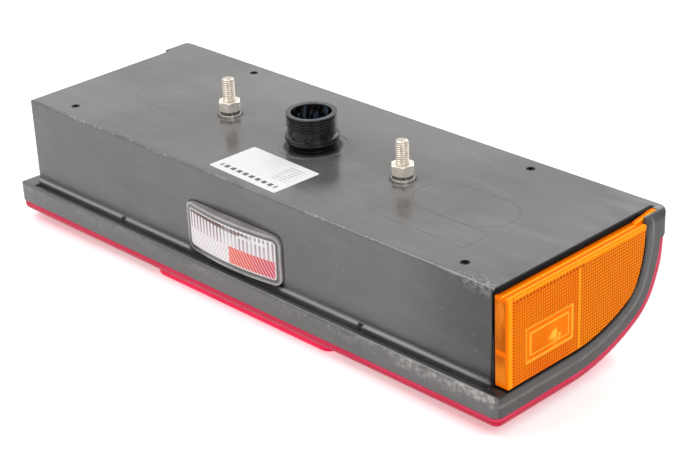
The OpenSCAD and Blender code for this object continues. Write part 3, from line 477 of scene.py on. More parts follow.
@dataclass(frozen=True)
class LampForm:
    """Main form that several pieces share: plan outline and curved underside, in millimetres."""

    rim_depth: float = 72.0
    belly_start: float = -15.0
    belly_height: float = 54.8
    shares: Pair = (2.1, 0.584)
    headings: tuple[float, float, float, float] = (0.0, 29.0, 63.0, 84.0)
    x_plain: float = -209.6
    x_marker: float = 215.4
    y_near: float = -76.8
    taper: float = 6.4
    near_r: float = 5.0
    marker_far_r: float = 4.5
    plain_far_r: float = 9.0
    far_lip: float = 7.2
    lip_depth: float = 14.2
    steps: int = 12

    def radii(self) -> tuple[float, float, float]:
        """Radii of the three arcs: the first two are shares of the curve's height, and the third is
        the one that makes the arcs reach that height.

        Returns:
            The three radii.
        """
        first, second = (share * self.belly_height for share in self.shares)
        c0, c1, c2, c3 = (math.cos(math.radians(a)) for a in self.headings)
        third = (self.belly_height - first * (c0 - c1) - second * (c1 - c2)) / (c2 - c3)
        return first, second, third

    def arcs(self) -> list[tuple[float, float, float, float]]:
        """The three arcs of the underside curve. Each starts where the one before it ends, with the
        same heading, so its centre lies inwards from that point along the normal.

        Returns:
            For each arc, y and z of the centre, the radius and the first heading in degrees.
        """
        y, z = self.belly_start, -self.rim_depth
        rows = []
        for radius, start, end in zip(self.radii(), self.headings, self.headings[1:]):
            first, last = math.radians(start), math.radians(end)
            cy, cz = y - radius * math.sin(first), z + radius * math.cos(first)
            rows.append((cy, cz, radius, start))
            y, z = cy + radius * math.sin(last), cz - radius * math.cos(last)
        return rows

    def belly(self, offset: float) -> np.ndarray:
        """The underside curve at an offset along its normal: three arcs that run into each other.

        Args:
            offset: distance outwards from the flange's lower edge.

        Returns:
            Points (y, z) from the end of the flat to the far side.
        """
        rows = [np.array([[self.belly_start, -self.rim_depth - offset]])]
        for (cy, cz, radius, start), end in zip(self.arcs(), self.headings[1:]):
            a = np.radians(np.linspace(start, end, self.steps + 1)[1:])
            r = radius + offset
            rows.append(np.stack([cy + r * np.sin(a), cz - r * np.cos(a)], -1))
        return np.concatenate(rows)

    def far_y(self) -> float:
        """Far edge of the flange."""
        return float(self.belly(0.0)[-1, 0]) + self.far_lip

    def depth(self, offset: float, y: np.ndarray) -> np.ndarray:
        """Height z of the underside at an offset: flat, then the curve, then the lip.

        Args:
            offset: distance outwards from the flange's lower edge.
            y: places across the lamp.

        Returns:
            The height at each place.
        """
        curve = self.belly(offset)
        lip = np.array([[self.far_y() + 1.6, -self.lip_depth - min(offset, 1.6)]])
        line = np.concatenate([[[-200.0, -self.rim_depth - offset]], curve, lip])
        return np.interp(y, line[:, 0], line[:, 1])

    def outline(self, inset: float, step: float = 3.0) -> np.ndarray:
        """Closed plan outline at an inset: four rounded corners joined by straight runs.

        Args:
            inset: distance inwards from the flange's edge.
            step: greatest distance between points on the straight runs.

        Returns:
            Points (x, y), counter-clockwise.
        """
        x0, x1 = self.x_plain + inset, self.x_marker - inset
        y0, y1 = self.y_near + inset, self.far_y() - inset
        rn, rm, rp = (max(r - inset, 0.8) for r in (self.near_r, self.marker_far_r, self.plain_far_r))
        corners = ((x0 + rn, y0 + rn, rn, 180.0), (x1 - rn, y0 + rn, rn, 270.0),
                   (x1 - rm, y1 - rm, rm, 0.0), (x0 + self.taper + rp, y1 - rp, rp, 90.0))
        arcs = []
        for cx, cy, r, start in corners:
            a = np.radians(np.linspace(start, start + 90.0, 9))
            arcs.append(np.stack([cx + r * np.cos(a), cy + r * np.sin(a)], -1))
        rows = []
        for here, following in zip(arcs, arcs[1:] + arcs[:1]):
            gap = following[0] - here[-1]
            count = max(2, int(np.hypot(*gap) / step))
            run = here[-1] + gap * np.linspace(0.0, 1.0, count + 1)[1:-1, None]
            rows += [here, run]
        return np.concatenate(rows)


@dataclass(frozen=True)
class PlateWindow:
    """Number plate window that the housing, the lens and its finish share, in millimetres. Its
    flutes are upright above the split and slant apart from the middle below it."""

    middle: Pair = (1.0, -39.75)
    size: Pair = (83.7, 32.2)
    corner: float = 5.9
    pitch: float = 3.3
    slant: float = 32.0
    split: float = -40.35
    slanting_share: float = 0.8

    def box(self) -> Box:
        """Lowest and highest x, then lowest and highest z."""
        (x, z), (length, height) = self.middle, self.size
        return x - length / 2, x + length / 2, z - height / 2, z + height / 2

    def lean(self) -> float:
        """Sideways run of the slanting flutes for each unit of height."""
        return math.tan(math.radians(self.slant))


# Finishes


class Light(Enum):
    """How much light a moulded lens lets through."""

    CLEAR = 0.9
    TINTED = 0.55
    DEEP = 0.3
    FAINT = 0.1


@dataclass(frozen=True)
class HousingFinish:
    """Satin dark grey moulding: handling marks, dusty edges, faint mould outlines, painted shade,
    highlights and reflection.
    """

    form: LampForm = field(default_factory=LampForm)
    window: PlateWindow = field(default_factory=PlateWindow)
    base: Colour = (0.090, 0.085, 0.083)
    dark: Colour = (0.056, 0.053, 0.052)
    plate_base: Colour = (0.132, 0.126, 0.123)
    plate_dark: Colour = (0.084, 0.080, 0.078)
    mould_mark_and_shade: Colour = (0.034, 0.033, 0.033)
    dust_and_highlight: Colour = (0.47, 0.45, 0.43)
    # deep: painted shade on the right part of the near wall and on the flange's face at the marker end.
    deep: Colour = (0.036, 0.034, 0.033)
    # pale: painted reflection behind the connector; also the paler near left corner.
    pale: Colour = (0.185, 0.178, 0.174)
    # black: painted shade in the openings and painted shadows round the socket, washers and plate window.
    black: Colour = (0.007, 0.007, 0.007)
    near_y: float = -68.2
    flange_y: float = -76.8
    end_x: float = 215.4
    pocket_x: float = 203.8
    eave_x: float = 205.3
    eave_y: Pair = (63.5, 65.5)
    eave_end: Pair = (208.4, 208.8)
    seam_inset: float = 12.5
    stud_x: float = 76.0
    washer_ring: Pair = (6.8, 9.8)
    socket_ring: Pair = (16.8, 20.0)
    screws: tuple[Pair, ...] = ((-164.9, -55.6), (174.6, -55.6), (-118.9, 58.9), (123.2, 58.9))
    screw_rim: Pair = (2.6, 3.0)
    shelf_x: Pair = (188.0, 207.0)
    shelf_z: Pair = (-60.6, -59.4)
    shelf_y: Pair = (-76.0, -74.6)
    painted_shade_x: Pair = (110.0, 206.0)
    painted_shade_z: Pair = (-60.0, -57.0)
    mark_middle: float = 3.6
    mark_pitch: float = 123.6
    oval_y: float = -2.4
    oval_half: float = 15.5
    oval_radius: float = 19.0
    panel_y: float = -32.8
    panel_half_x: float = 35.4
    panel_half_y: float = 10.6

    def outlines(self, s: Shade) -> tuple[Socket, Socket]:
        """Faint marks of the mould on the back plate: on each half a long oval, and under it a panel
        split in two.

        Args:
            s: the material under construction.

        Returns:
            Shares of the thin outlines and of the areas inside them.
        """
        u = s.off(s.off(s.x, self.mark_middle), self.mark_pitch)
        reach = s.math("MAXIMUM", s.math("SUBTRACT", u, self.oval_half * MM), 0.0)
        from_oval = s.length(reach, s.off(s.y, self.oval_y))
        oval = s.near(from_oval, self.oval_radius, 0.85)
        box = s.largest(s.math("SUBTRACT", u, self.panel_half_x * MM),
                        s.math("SUBTRACT", s.off(s.y, self.panel_y), self.panel_half_y * MM))
        panel = s.near(box, 0.0, 0.7)
        in_panel = s.step(box, -0.3, 0.0, 1.0, 0.0)
        split = s.times(s.near(u, 0.0, 0.7), in_panel)
        in_oval = s.step(from_oval, self.oval_radius - 0.3, self.oval_radius, 1.0, 0.0)
        top = s.step(s.z, -0.6, -0.2)
        return s.times(s.largest(oval, panel, split), top), s.times(s.largest(in_panel, in_oval), top)

    def scuffs_and_ridge_highlight(self, s: Shade, fine: Socket) -> Socket:
        """Pale scuffs: a thin broken line on the near top edge, grit at the corner above the side marker
        and patches on the flange's outer face, and a painted highlight along the ridge.

        Args:
            s: the material under construction.
            fine: fine noise that breaks the scuffs up.

        Returns:
            Share of the pale tone.
        """
        grit = s.ease(fine, 0.46, 0.62)
        edge = s.times(s.near(s.y, self.near_y + 0.5, 1.2), s.near(s.z, -0.5, 1.2))
        broken = s.ease(s.noise(45.0, 5.0, 0.65, (0.4, 1.0, 1.0)), 0.44, 0.62)
        top_edge = s.times(edge, broken, s.math("ADD", s.times(grit, 0.45), 0.2))
        corner = s.times(s.step(s.x, 165.0, 203.0), s.step(s.y, -55.0, -67.0), s.step(s.z, -9.0, -1.0))
        # Painted highlight along the ridge.
        ridge = s.times(s.near(s.y, self.near_y - 1.6, 1.2), s.near(s.z, -56.2, 1.5), 0.45)
        end_face = s.times(s.step(s.x, self.end_x - 2.0, self.end_x), s.step(s.y, -30.0, -70.0))
        outer = s.largest(s.step(s.y, self.flange_y + 1.4, self.flange_y), end_face)
        low = s.step(s.z, -70.0, -60.5)
        patches = s.ease(s.noise(38.0, 6.0, 0.7, (0.5, 1.0, 2.0)), 0.40, 0.64)
        more = s.step(s.x, 30.0, 190.0, 0.5, 1.9)
        wear_and_highlight = s.times(outer, low, patches, s.math("ADD", s.times(grit, 0.65), 0.2), more)
        return s.largest(top_edge, s.times(corner, grit, 0.6), ridge, wear_and_highlight)

    def painted_shadows(self, s: Shade) -> Socket:
        """Painted shade: dark rings round the socket and the washers, a painted shadow along the edge of
        the plate window, and a darker corner of the shelf over the flange.

        Args:
            s: the material under construction.

        Returns:
            Share of the painted shade.
        """
        # Painted shadows round the socket and the washers, along the plate window and in the shelf corner.
        top = s.step(s.z, -0.6, -0.2)
        reaches = {-self.stud_x: self.washer_ring, 0.0: self.socket_ring, self.stud_x: self.washer_ring}
        rings = [s.step(s.distance(s.x, s.y, (x, 0.0)), *ring, 1.0, 0.0) for x, ring in reaches.items()]
        away = s.from_box(s.x, s.z, self.window.box(), self.window.corner)
        low = s.step(s.z, -50.0, -56.0)
        edge = s.mix_value(low, s.step(away, 0.3, 1.3, 0.6, 0.0), s.step(away, 1.0, 4.2, 0.85, 0.0))
        edge = s.times(edge, s.step(s.y, self.near_y + 3.0, self.near_y + 2.0))
        shelf = s.times(s.step(s.x, *self.shelf_x), s.step(s.z, *self.shelf_z), s.step(s.y, *self.shelf_y),
                        s.step(s.y, self.near_y - 0.4, self.near_y - 1.2))
        return s.largest(s.times(s.largest(*rings), top, 0.8), edge, s.times(shelf, 0.6))

    def openings(self, s: Shade, inset: Socket) -> Socket:
        """Black where little light comes: the rims of the four screw holes, and the pocket of the
        side marker with the gap under the eave and the seam round the amber lens.

        Args:
            s: the material under construction.
            inset: distance inwards from the underside curve.

        Returns:
            Share of black.
        """
        holes = [s.step(s.distance(s.x, s.y, at), *self.screw_rim, 1.0, 0.0) for at in self.screws]
        holes = s.times(s.largest(*holes), s.step(s.z, -1.2, -0.6))
        start = s.step(s.z, -2.6, -1.0, self.pocket_x * MM, self.eave_x * MM)
        eave = s.times(s.step(s.z, -4.6, -4.0), s.step(s.y, *self.eave_y, 1.0, 0.0),
                       s.step(s.x, *self.eave_end, 1.0, 0.0))
        seam = s.times(s.step(inset, self.seam_inset - 0.5, self.seam_inset + 0.3),
                       s.step(s.y, self.near_y - 1.2, self.near_y - 0.2))
        pocket = s.times(s.step(s.math("SUBTRACT", s.x, start), 0.0, 0.9), s.largest(seam, eave))
        return s.largest(holes, s.times(pocket, 0.95))

    def ground(self, s: Shade, top: Socket, painted_shade_share: Socket) -> Socket:
        """Slowly changing grey of the walls, deeper on the right of the near wall as painted shade, and of
        the back plate, paler behind the connector as a painted reflection and at the near left corner.

        Args:
            s: the material under construction.
            top: one on the back plate.
            painted_shade_share: one where painted shade deepens the right part of the near wall.

        Returns:
            The colour.
        """
        tone = s.ease(s.noise(9.0, 4.0, 0.6), 0.32, 0.68)
        # Painted shade: the right part of the near wall is drawn deeper.
        wall = s.mix(s.times(painted_shade_share, 0.9), s.mix(tone, self.dark, self.base), self.deep)
        plate = s.mix(tone, self.plate_dark, self.plate_base)
        # Painted reflection: the back plate is drawn paler behind the connector.
        behind = s.times(s.step(s.y, -5.0, 60.0), s.within(s.x, -90.0, 70.0, 60.0))
        plate = s.mix(s.times(behind, 0.6), plate, self.pale)
        corner = s.times(s.within(s.x, -200.0, -150.0, 25.0), s.within(s.y, -68.0, -20.0, 25.0))
        plate = s.mix(s.times(corner, 0.45), plate, self.pale)
        return s.mix(top, wall, plate)

    def band(self, s: Shade, colour: Socket, end: Socket, inset: Socket, smears: Socket) -> Socket:
        """Paints shade on the flange's face at the marker end, and a highlight line and a darker band on
        it.

        Args:
            s: the material under construction.
            colour: colour so far.
            end: one on the face of that end.
            inset: distance inwards from the underside curve.
            smears: long noise that breaks the pale line up.

        Returns:
            The colour.
        """
        # Painted shade on the face of the marker end.
        colour = s.mix(s.times(end, 0.9), colour, self.deep)
        # Painted highlight line on the fillet, drawn in the pale colour.
        gleam = s.times(end, s.near(inset, 7.0, 1.4), s.ease(smears, 0.3, 0.6, 0.1, 0.25))
        colour = s.mix(gleam, colour, self.dust_and_highlight)
        # Painted dark band of shade nearer the amber lens.
        return s.mix(s.times(end, s.near(inset, 11.2, 2.4), 0.7), colour, self.mould_mark_and_shade)

    def material(self) -> bpy.types.Material:
        """Builds the material."""
        s = Shade("housing_plastic")
        smears = s.noise(60.0, 5.0, 0.6, (0.3, 1.0, 1.0))
        top = s.step(s.z, -1.2, -0.3)
        # Painted shade on the right part of the near wall.
        painted_shade_share = s.times(s.step(s.x, *self.painted_shade_x), s.step(s.z, *self.painted_shade_z), s.rest(top))
        lines, areas = self.outlines(s)
        lines = s.times(lines, s.ease(smears, 0.35, 0.6, 0.3, 0.75))
        colour = s.mix(s.times(areas, 0.1), self.ground(s, top, painted_shade_share), self.plate_base)
        colour = s.mix(s.times(lines, 0.8), colour, self.mould_mark_and_shade)
        scuffs_and_highlight = self.scuffs_and_ridge_highlight(s, s.noise(310.0, 5.0, 0.7))
        film = s.times(s.ease(smears, 0.46, 0.75), 0.10)
        specks = s.times(s.ease(s.noise(520.0, 1.0, 0.3), 0.79, 0.83), 0.5)
        # Pale specks, a film, scuffs and the painted highlight along the ridge.
        colour = s.mix(s.largest(scuffs_and_highlight, specks, film), colour, self.dust_and_highlight)
        inset = s.from_belly(self.form)
        end = s.step(s.x, self.end_x - 1.8, self.end_x - 0.7)
        colour = self.band(s, colour, end, inset, smears)
        # Painted shade: shadows and openings drawn towards black.
        painted_shadows, black = self.painted_shadows(s), self.openings(s, inset)
        colour = s.mix(black, s.mix(painted_shadows, colour, self.black), self.black)
        shaded = s.largest(black, painted_shadows, s.times(painted_shade_share, 0.42), s.times(end, 0.34))
        s.set(Base_Color=colour, IOR=1.5, Specular_IOR_Level=s.ease(shaded, 0.0, 0.9, 1.0, 0.05))
        gloss = s.math("ADD", s.ease(top, 0.0, 1.0, 0.27, 0.17), s.ease(smears, 0.38, 0.7, 0.0, 0.1))
        s.set(Roughness=s.math("ADD", gloss, s.times(scuffs_and_highlight, 0.3)))
        grain = s.math("ADD", s.times(s.noise(1500.0, 2.0, 0.5), 0.2), s.times(s.noise(55.0, 3.0), 0.5))
        s.relief(s.math("SUBTRACT", grain, lines), 0.04, 0.5, 1.0)
        return s.material


@dataclass(frozen=True)
class LensFinish:
    """Moulded lens plastic: tinted, with a slow change of shade, a faint painted glow that stands in for
    the light that scatters in it, and a little surface haze."""

    name: str
    colour: Colour
    deep: Colour
    light: Light = Light.TINTED
    roughness: float = 0.12
    glow: float = 0.0
    mirror: float = 0.4
    ribs: float = 0.0
    ribs_below: float = 0.0

    def pillows(self, s: Shade) -> Socket:
        """Small pillows in rows along and across the lens, from zero to one."""
        across = s.math("MINIMUM", s.wave(s.x, self.ribs), s.wave(s.y, self.ribs))
        below = s.step(s.z, self.ribs_below - 0.4, self.ribs_below, 1.0, 0.0)
        return s.rest(s.times(below, s.ease(across, 0.1, 0.6, 1.0, 0.0)))

    def valley(self) -> Colour:
        """Colour between the pillows: half as bright as the deep shade."""
        red, green, blue = self.deep
        return red * 0.5, green * 0.5, blue * 0.5

    def material(self) -> bpy.types.Material:
        """Builds the material."""
        s = Shade(self.name)
        tint = s.mix(s.ease(s.noise(16.0, 3.0), 0.35, 0.65), self.colour, self.deep)
        colour = tint
        if self.ribs > 0.0:
            pillows = self.pillows(s)
            colour = s.mix(s.times(s.rest(pillows), 0.5), tint, self.valley())
            s.relief(pillows, 0.25, 0.4, 0.5)
        else:
            s.relief(s.noise(40.0, 2.0), 0.06, 0.25, 0.5)
        s.set(Base_Color=colour, Transmission_Weight=self.light.value, IOR=1.49)
        s.set(Specular_IOR_Level=self.mirror)
        s.set(Roughness=s.ease(s.noise(220.0, 4.0), 0.4, 0.7, self.roughness, self.roughness + 0.08))
        # Painted glow: the lens emits light though it is no lamp.
        if self.glow > 0.0:
            s.set(Emission_Color=tint, Emission_Strength=self.glow)
        return s.material


@dataclass(frozen=True)
class BeadFinish:
    """Red side of the lens: a painted highlight line high on the bead, painted shade under it, bright at
    its foot.
    """

    colour: Colour = (0.68, 0.008, 0.062)
    # line: painted highlight; deep: painted shade; glow: painted glow.
    line: Colour = (0.90, 0.12, 0.23)
    deep: Colour = (0.36, 0.004, 0.022)
    glow: float = 0.18

    def material(self) -> bpy.types.Material:
        """Builds the material."""
        s = Shade("red_bead")
        attribute = s.add("ShaderNodeAttribute")
        attribute.attribute_name = "rise"
        rise = attribute.outputs["Fac"]
        # Painted highlight high on the bead, painted shade below it.
        high = s.times(s.ease(rise, 0.12, 0.24), s.ease(rise, 0.30, 0.42, 1.0, 0.0))
        low = s.times(s.ease(rise, 0.48, 0.6), s.ease(rise, 0.7, 0.84, 1.0, 0.0))
        along = s.ease(s.noise(26.0, 3.0), 0.35, 0.65, 0.35, 1.0)
        # The painted highlight is stronger towards the right.
        pale = s.step(s.x, 40.0, 180.0, 0.2, 0.6)
        colour = s.mix(s.times(high, along, pale), self.colour, self.line)
        colour = s.mix(s.times(low, 0.6), colour, self.deep)
        s.set(Base_Color=colour, IOR=1.49, Specular_IOR_Level=0.2)
        s.set(Roughness=s.ease(s.noise(180.0, 3.0), 0.35, 0.7, 0.14, 0.24))
        # Painted glow.
        s.set(Emission_Color=colour, Emission_Strength=self.glow)
        s.relief(s.noise(60.0, 2.0), 0.05, 0.25)
        return s.material


@dataclass(frozen=True)
class MarkerFinish:
    """Amber side marker: small pyramids all over its face except in the clear window, smooth bright
    edges, a row of notches under the top edge, a near side recessed with painted shade, and a painted
    glow."""

    colour: Colour = (0.86, 0.155, 0.001)
    bright: Colour = (1.0, 0.27, 0.002)
    pale: Colour = (1.0, 0.44, 0.02)
    deep: Colour = (0.36, 0.042, 0.001)
    edge: Colour = (0.88, 0.16, 0.001)
    # Painted shade of the recessed near side, broken by lighter streaks.
    painted_hollow_shade: Colour = (0.38, 0.080, 0.004)
    hollow_light: Colour = (0.76, 0.22, 0.016)
    caught: Colour = (1.0, 0.58, 0.06)
    rib_z: float = -36.8
    pitch: float = 1.9
    face_x: float = 215.4
    near_y: float = -68.0
    top_z: float = -3.5
    foot_z: float = -57.2
    split_y: float = -9.5
    window: Box = (-53.5, -15.0, -47.4, -27.0)
    glow: float = 0.29

    def face(self, s: Shade, pyramids: Socket, field_share: Socket) -> Socket:
        """Colour of the outer face.

        Args:
            s: the material under construction.
            pyramids: height of the pyramids from zero to one.
            field_share: one in the prism field.

        Returns:
            The colour.
        """
        cloud = s.ease(s.noise(20.0, 3.0), 0.36, 0.66)
        far_part = s.step(s.y, self.split_y, self.split_y + 0.6)
        colour = s.mix(s.times(cloud, 0.55), self.colour, self.bright)
        colour = s.mix(s.times(far_part, 0.7), colour, self.bright)
        valleys = s.times(s.ease(pyramids, 0.1, 0.55, 1.0, 0.0), s.ease(far_part, 0.0, 1.0, 0.62, 0.76))
        colour = s.mix(s.times(valleys, field_share), colour, self.deep)
        colour = s.mix(s.times(s.ease(pyramids, 0.66, 0.95), field_share, 0.6), colour, self.pale)
        border = s.largest(s.within(s.y, self.near_y - 1.0, self.near_y + 3.2),
                           s.within(s.z, self.top_z - 2.2, self.top_z + 1.0))
        colour = s.mix(s.times(border, 0.85), colour, self.bright)
        lines = s.largest(s.near(s.y, self.near_y + 1.9, 0.7), s.near(s.y, self.split_y, 1.1),
                          s.near(s.z, self.top_z - 1.4, 0.5))
        colour = s.mix(s.times(lines, 0.8), colour, self.pale)
        notches = s.times(s.within(s.z, self.top_z - 4.4, self.top_z - 2.6),
                          s.within(s.y, self.near_y + 6.0, self.split_y + 5.0),
                          s.ease(s.wave(s.y, 2.7), 0.45, 0.7))
        teeth = s.times(s.within(s.y, self.near_y + 3.6, self.near_y + 4.6),
                        s.ease(s.wave(s.z, 1.9), 0.4, 0.7))
        return s.mix(s.times(s.largest(notches, teeth), 0.85), colour, self.deep)

    def glints(self, s: Shade, colour: Socket, inside: Socket, away: Socket) -> Socket:
        """Adds the pale frame of the clear window, painted shade inside it and a painted glint behind it.

        Args:
            s: the material under construction.
            colour: colour so far.
            inside: one inside the window.
            away: distance from the window's frame.

        Returns:
            The colour.
        """
        y0, y1, z0 = self.window[:3]
        frame = s.largest(s.near(away, -0.2, 0.7), s.times(s.near(away, -3.6, 0.6), 0.8))
        ragged = s.ease(s.noise(240.0, 2.0, 0.5), 0.3, 0.7, -2.2 * MM, 2.2 * MM)
        spot = s.math("ADD", s.distance(s.y, s.z, (y1 - 15.0, z0 + 7.0)), ragged)
        # Painted glint of light caught behind the window.
        caught = s.step(spot, 0.4, 5.6, 1.0, 0.0)
        # Painted shade inside the clear window.
        painted_shade_share = s.times(inside, s.within(s.y, y0 + 5.0, y1 - 22.0, 4.0), 0.22)
        colour = s.mix(painted_shade_share, colour, self.deep)
        colour = s.mix(s.times(caught, inside, 0.8), colour, self.caught)
        return s.mix(s.times(frame, 0.9), colour, self.caught)

    def material(self) -> bpy.types.Material:
        """Builds the material."""
        s = Shade("amber_marker")
        away = s.from_box(s.y, s.z, self.window)
        inside = s.step(away, -0.3, 0.0, 1.0, 0.0)
        on_face = s.step(s.x, self.face_x - 0.8, self.face_x - 0.3)
        bare = s.largest(s.within(s.y, self.near_y - 1.0, self.near_y + 4.4),
                         s.within(s.z, self.top_z - 3.0, 0.0))
        field_share = s.times(on_face, s.rest(inside), s.rest(bare))
        pyramids = s.math("MINIMUM", s.wave(s.y, self.pitch), s.wave(s.z, self.pitch))
        face = self.glints(s, self.face(s, pyramids, field_share), inside, away)
        # Painted shade on the recessed near side, left off its rib.
        side = s.times(s.step(s.y, self.near_y + 1.6, self.near_y + 1.0),
                       s.within(s.z, self.foot_z + 2.4, self.top_z - 2.6, 0.5),
                       s.within(s.x, self.face_x - 8.6, self.face_x - 2.0, 0.4))
        streak = s.ease(s.noise(90.0, 3.0, 0.5, (1.0, 1.0, 0.3)), 0.4, 0.62)
        painted_recess_shade = s.times(side, s.rest(s.near(s.z, self.rib_z, 2.2)), 0.85)
        edge = s.mix(painted_recess_shade, self.edge, s.mix(streak, self.painted_hollow_shade, self.hollow_light))
        upper = s.step(s.z, self.top_z - 1.0, self.top_z)
        ridges = s.largest(s.near(s.x, self.face_x - 1.0, 0.8), s.near(s.x, self.face_x - 4.6, 0.8))
        edge = s.mix(s.times(upper, ridges, 0.9), edge, self.pale)
        colour = s.mix(on_face, edge, face)
        s.set(Base_Color=colour, IOR=1.49, Specular_IOR_Level=0.02)
        # Painted glow: the lens emits light though it is no lamp.
        s.set(Emission_Color=colour, Emission_Strength=self.glow)
        s.set(Roughness=s.ease(field_share, 0.0, 1.0, 0.16, 0.34))
        s.relief(s.times(pyramids, field_share), 0.3, 0.5, 0.5)
        return s.material


@dataclass(frozen=True)
class PlateLensFinish:
    """Number plate window, milky where its flutes scatter the light of the white reflector and of
    the red lens behind it: pale ridges, darker lines between them, a plain grey border."""

    window: PlateWindow = field(default_factory=PlateWindow)
    border: float = 3.8
    ridge: Colour = (0.93, 0.91, 0.91)
    line_high: Colour = (0.16, 0.115, 0.125)
    line_low: Colour = (0.55, 0.36, 0.41)
    faint: Colour = (0.82, 0.71, 0.74)
    warm: Colour = (0.90, 0.10, 0.035)
    cool: Colour = (0.74, 0.045, 0.10)
    rose: Colour = (0.92, 0.55, 0.56)
    shadow: Colour = (0.10, 0.016, 0.022)
    rim: Colour = (0.21, 0.20, 0.197)
    rim_light: Colour = (0.33, 0.315, 0.31)
    # outline: painted highlight on the outer edge of the border.
    outline: Colour = (0.74, 0.72, 0.71)
    seam: Colour = (0.06, 0.055, 0.055)
    glow: float = 0.12
    shadow_slope: float = 0.036

    def flutes(self, s: Shade) -> tuple[Socket, Socket]:
        """Ridges of the upright and of the slanting rows.

        Args:
            s: the material under construction.

        Returns:
            Both as triangle waves from zero to one.
        """
        form = self.window
        u = s.math("SUBTRACT", s.x, form.middle[0] * MM)
        down = s.times(s.math("SUBTRACT", s.z, form.split * MM), form.lean())
        slanting = s.math("ADD", s.math("ABSOLUTE", u), down)
        return s.wave(u, form.pitch), s.wave(slanting, form.pitch * form.slanting_share)

    def rows_colour(self, s: Shade, upright: Socket, slanting: Socket, high: Socket) -> Socket:
        """Colour of the ribbed field: grey lines between the upright ridges, pale ridges on the left
        below them and red ones on the right, with a shadow and a gleam under the top border.

        Args:
            s: the material under construction.
            upright: the upright rows, from zero to one.
            slanting: the slanting rows, from zero to one.
            high: one above the split.

        Returns:
            The colour.
        """
        x0, x1, _, z1 = self.window.box()
        middle, split = self.window.middle[0], self.window.split
        right = s.step(s.x, middle - 0.2, middle + 0.2)
        line = s.mix(s.step(s.z, split, z1 - 5.0), self.line_low, self.line_high)
        streaks = s.ease(s.noise(45.0, 3.0, 0.5, (1.0, 1.0, 0.35)), 0.35, 0.6, 0.45, 1.0)
        upper = s.mix(s.times(s.ease(upright, 0.3, 0.62, 1.0, 0.0), streaks), self.ridge, line)
        left = s.mix(s.ease(slanting, 0.25, 0.6, 1.0, 0.0), self.ridge, self.faint)
        red = s.mix(s.step(s.x, middle + 4.0, x1 - 6.0), self.warm, self.cool)
        lower = s.mix(right, left, s.mix(s.ease(slanting, 0.55, 0.85), red, self.rose))
        top = z1 - self.border
        sloped = s.math("ADD", s.z, s.times(s.math("SUBTRACT", s.x, x0 * MM), self.shadow_slope))
        thick = s.ease(streaks, 0.45, 1.0, 0.7, 1.0)
        shadow = s.times(s.near(sloped, top - 0.8, 1.8), s.within(s.x, x0 + 5.0, x1 - 25.0, 4.0), thick)
        gleam = s.times(s.within(s.z, top - 5.0, top - 3.0, 0.4), s.within(s.x, x1 - 31.0, x1 - 11.0, 3.0))
        colour = s.mix(s.times(shadow, 0.95), s.mix(high, lower, upper), self.shadow)
        return s.mix(s.times(gleam, streaks), colour, self.ridge)

    def border_colour(self, s: Shade, away: Socket) -> Socket:
        """Milky grey of the border, a painted highlight on its outline and a dark seam along the ribbed
        field.

        Args:
            s: the material under construction.
            away: distance from the outline of the window.

        Returns:
            The colour.
        """
        milky = s.ease(s.noise(35.0, 4.0), 0.35, 0.65)
        colour = s.mix(milky, self.rim, self.rim_light)
        # Painted highlight along the outer edge of the border.
        edge = s.times(s.near(away, -0.7, 0.9), s.ease(milky, 0.0, 1.0, 0.55, 1.0))
        colour = s.mix(edge, colour, self.outline)
        return s.mix(s.times(s.near(away, -self.border + 0.9, 0.6), 0.75), colour, self.seam)

    def material(self) -> bpy.types.Material:
        """Builds the material."""
        s = Shade("plate_lens")
        split = self.window.split
        upright, slanting = self.flutes(s)
        high = s.step(s.z, split - 0.2, split + 0.2)
        away = s.from_box(s.x, s.z, self.window.box(), self.window.corner)
        inner = s.step(away, -(self.border + 0.2), -(self.border - 0.2), 1.0, 0.0)
        rows = self.rows_colour(s, upright, slanting, high)
        colour = s.mix(inner, self.border_colour(s, away), rows)
        # Painted highlight along the inner edge of the border.
        colour = s.mix(s.times(s.near(away, -self.border - 0.2, 0.7), 0.75), colour, self.ridge)
        s.set(Base_Color=colour, IOR=1.49, Specular_IOR_Level=0.5)
        s.set(Transmission_Weight=s.ease(inner, 0.0, 1.0, 0.35, 0.08))
        # Painted glow: the ribbed field emits light though it is no lamp.
        s.set(Emission_Color=colour, Emission_Strength=s.times(inner, self.glow))
        s.set(Roughness=s.ease(s.noise(150.0, 3.0), 0.35, 0.7, 0.06, 0.14))
        height = s.math("ADD", s.times(upright, high), s.times(slanting, s.rest(high)))
        s.relief(s.times(height, inner), 0.12, 0.35, 0.6)
        return s.material


@dataclass(frozen=True)
class MetalFinish:
    """Plated steel or brass with fine marks and a slight change of tone."""

    name: str
    colour: Colour
    shade: Colour
    roughness: float = 0.25
    scratches: float = 900.0

    def material(self) -> bpy.types.Material:
        """Builds the material."""
        s = Shade(self.name)
        tone = s.ease(s.noise(260.0, 4.0), 0.35, 0.7)
        s.set(Base_Color=s.mix(tone, self.colour, self.shade), Metallic=1.0)
        marks = s.noise(self.scratches, 3.0, 0.6, (1.0, 1.0, 0.25))
        s.set(Roughness=s.ease(marks, 0.3, 0.75, self.roughness, self.roughness + 0.12))
        s.relief(marks, 0.008, 0.25, 0.2)
        return s.material


@dataclass(frozen=True)
class PlainFinish:
    """Rubber or moulded plastic of one colour with grain and a slow change of tone."""

    name: str
    colour: Colour
    shade: Colour
    roughness: float = 0.5
    grain: float = 900.0
    edge: float = 0.3

    def material(self) -> bpy.types.Material:
        """Builds the material."""
        s = Shade(self.name)
        tone = s.ease(s.noise(45.0, 4.0), 0.35, 0.7)
        s.set(Base_Color=s.mix(tone, self.colour, self.shade))
        s.set(Roughness=s.ease(s.noise(200.0, 3.0), 0.3, 0.7, self.roughness, self.roughness + 0.12))
        s.relief(s.noise(self.grain, 2.0), 0.04, 0.4, self.edge)
        return s.material


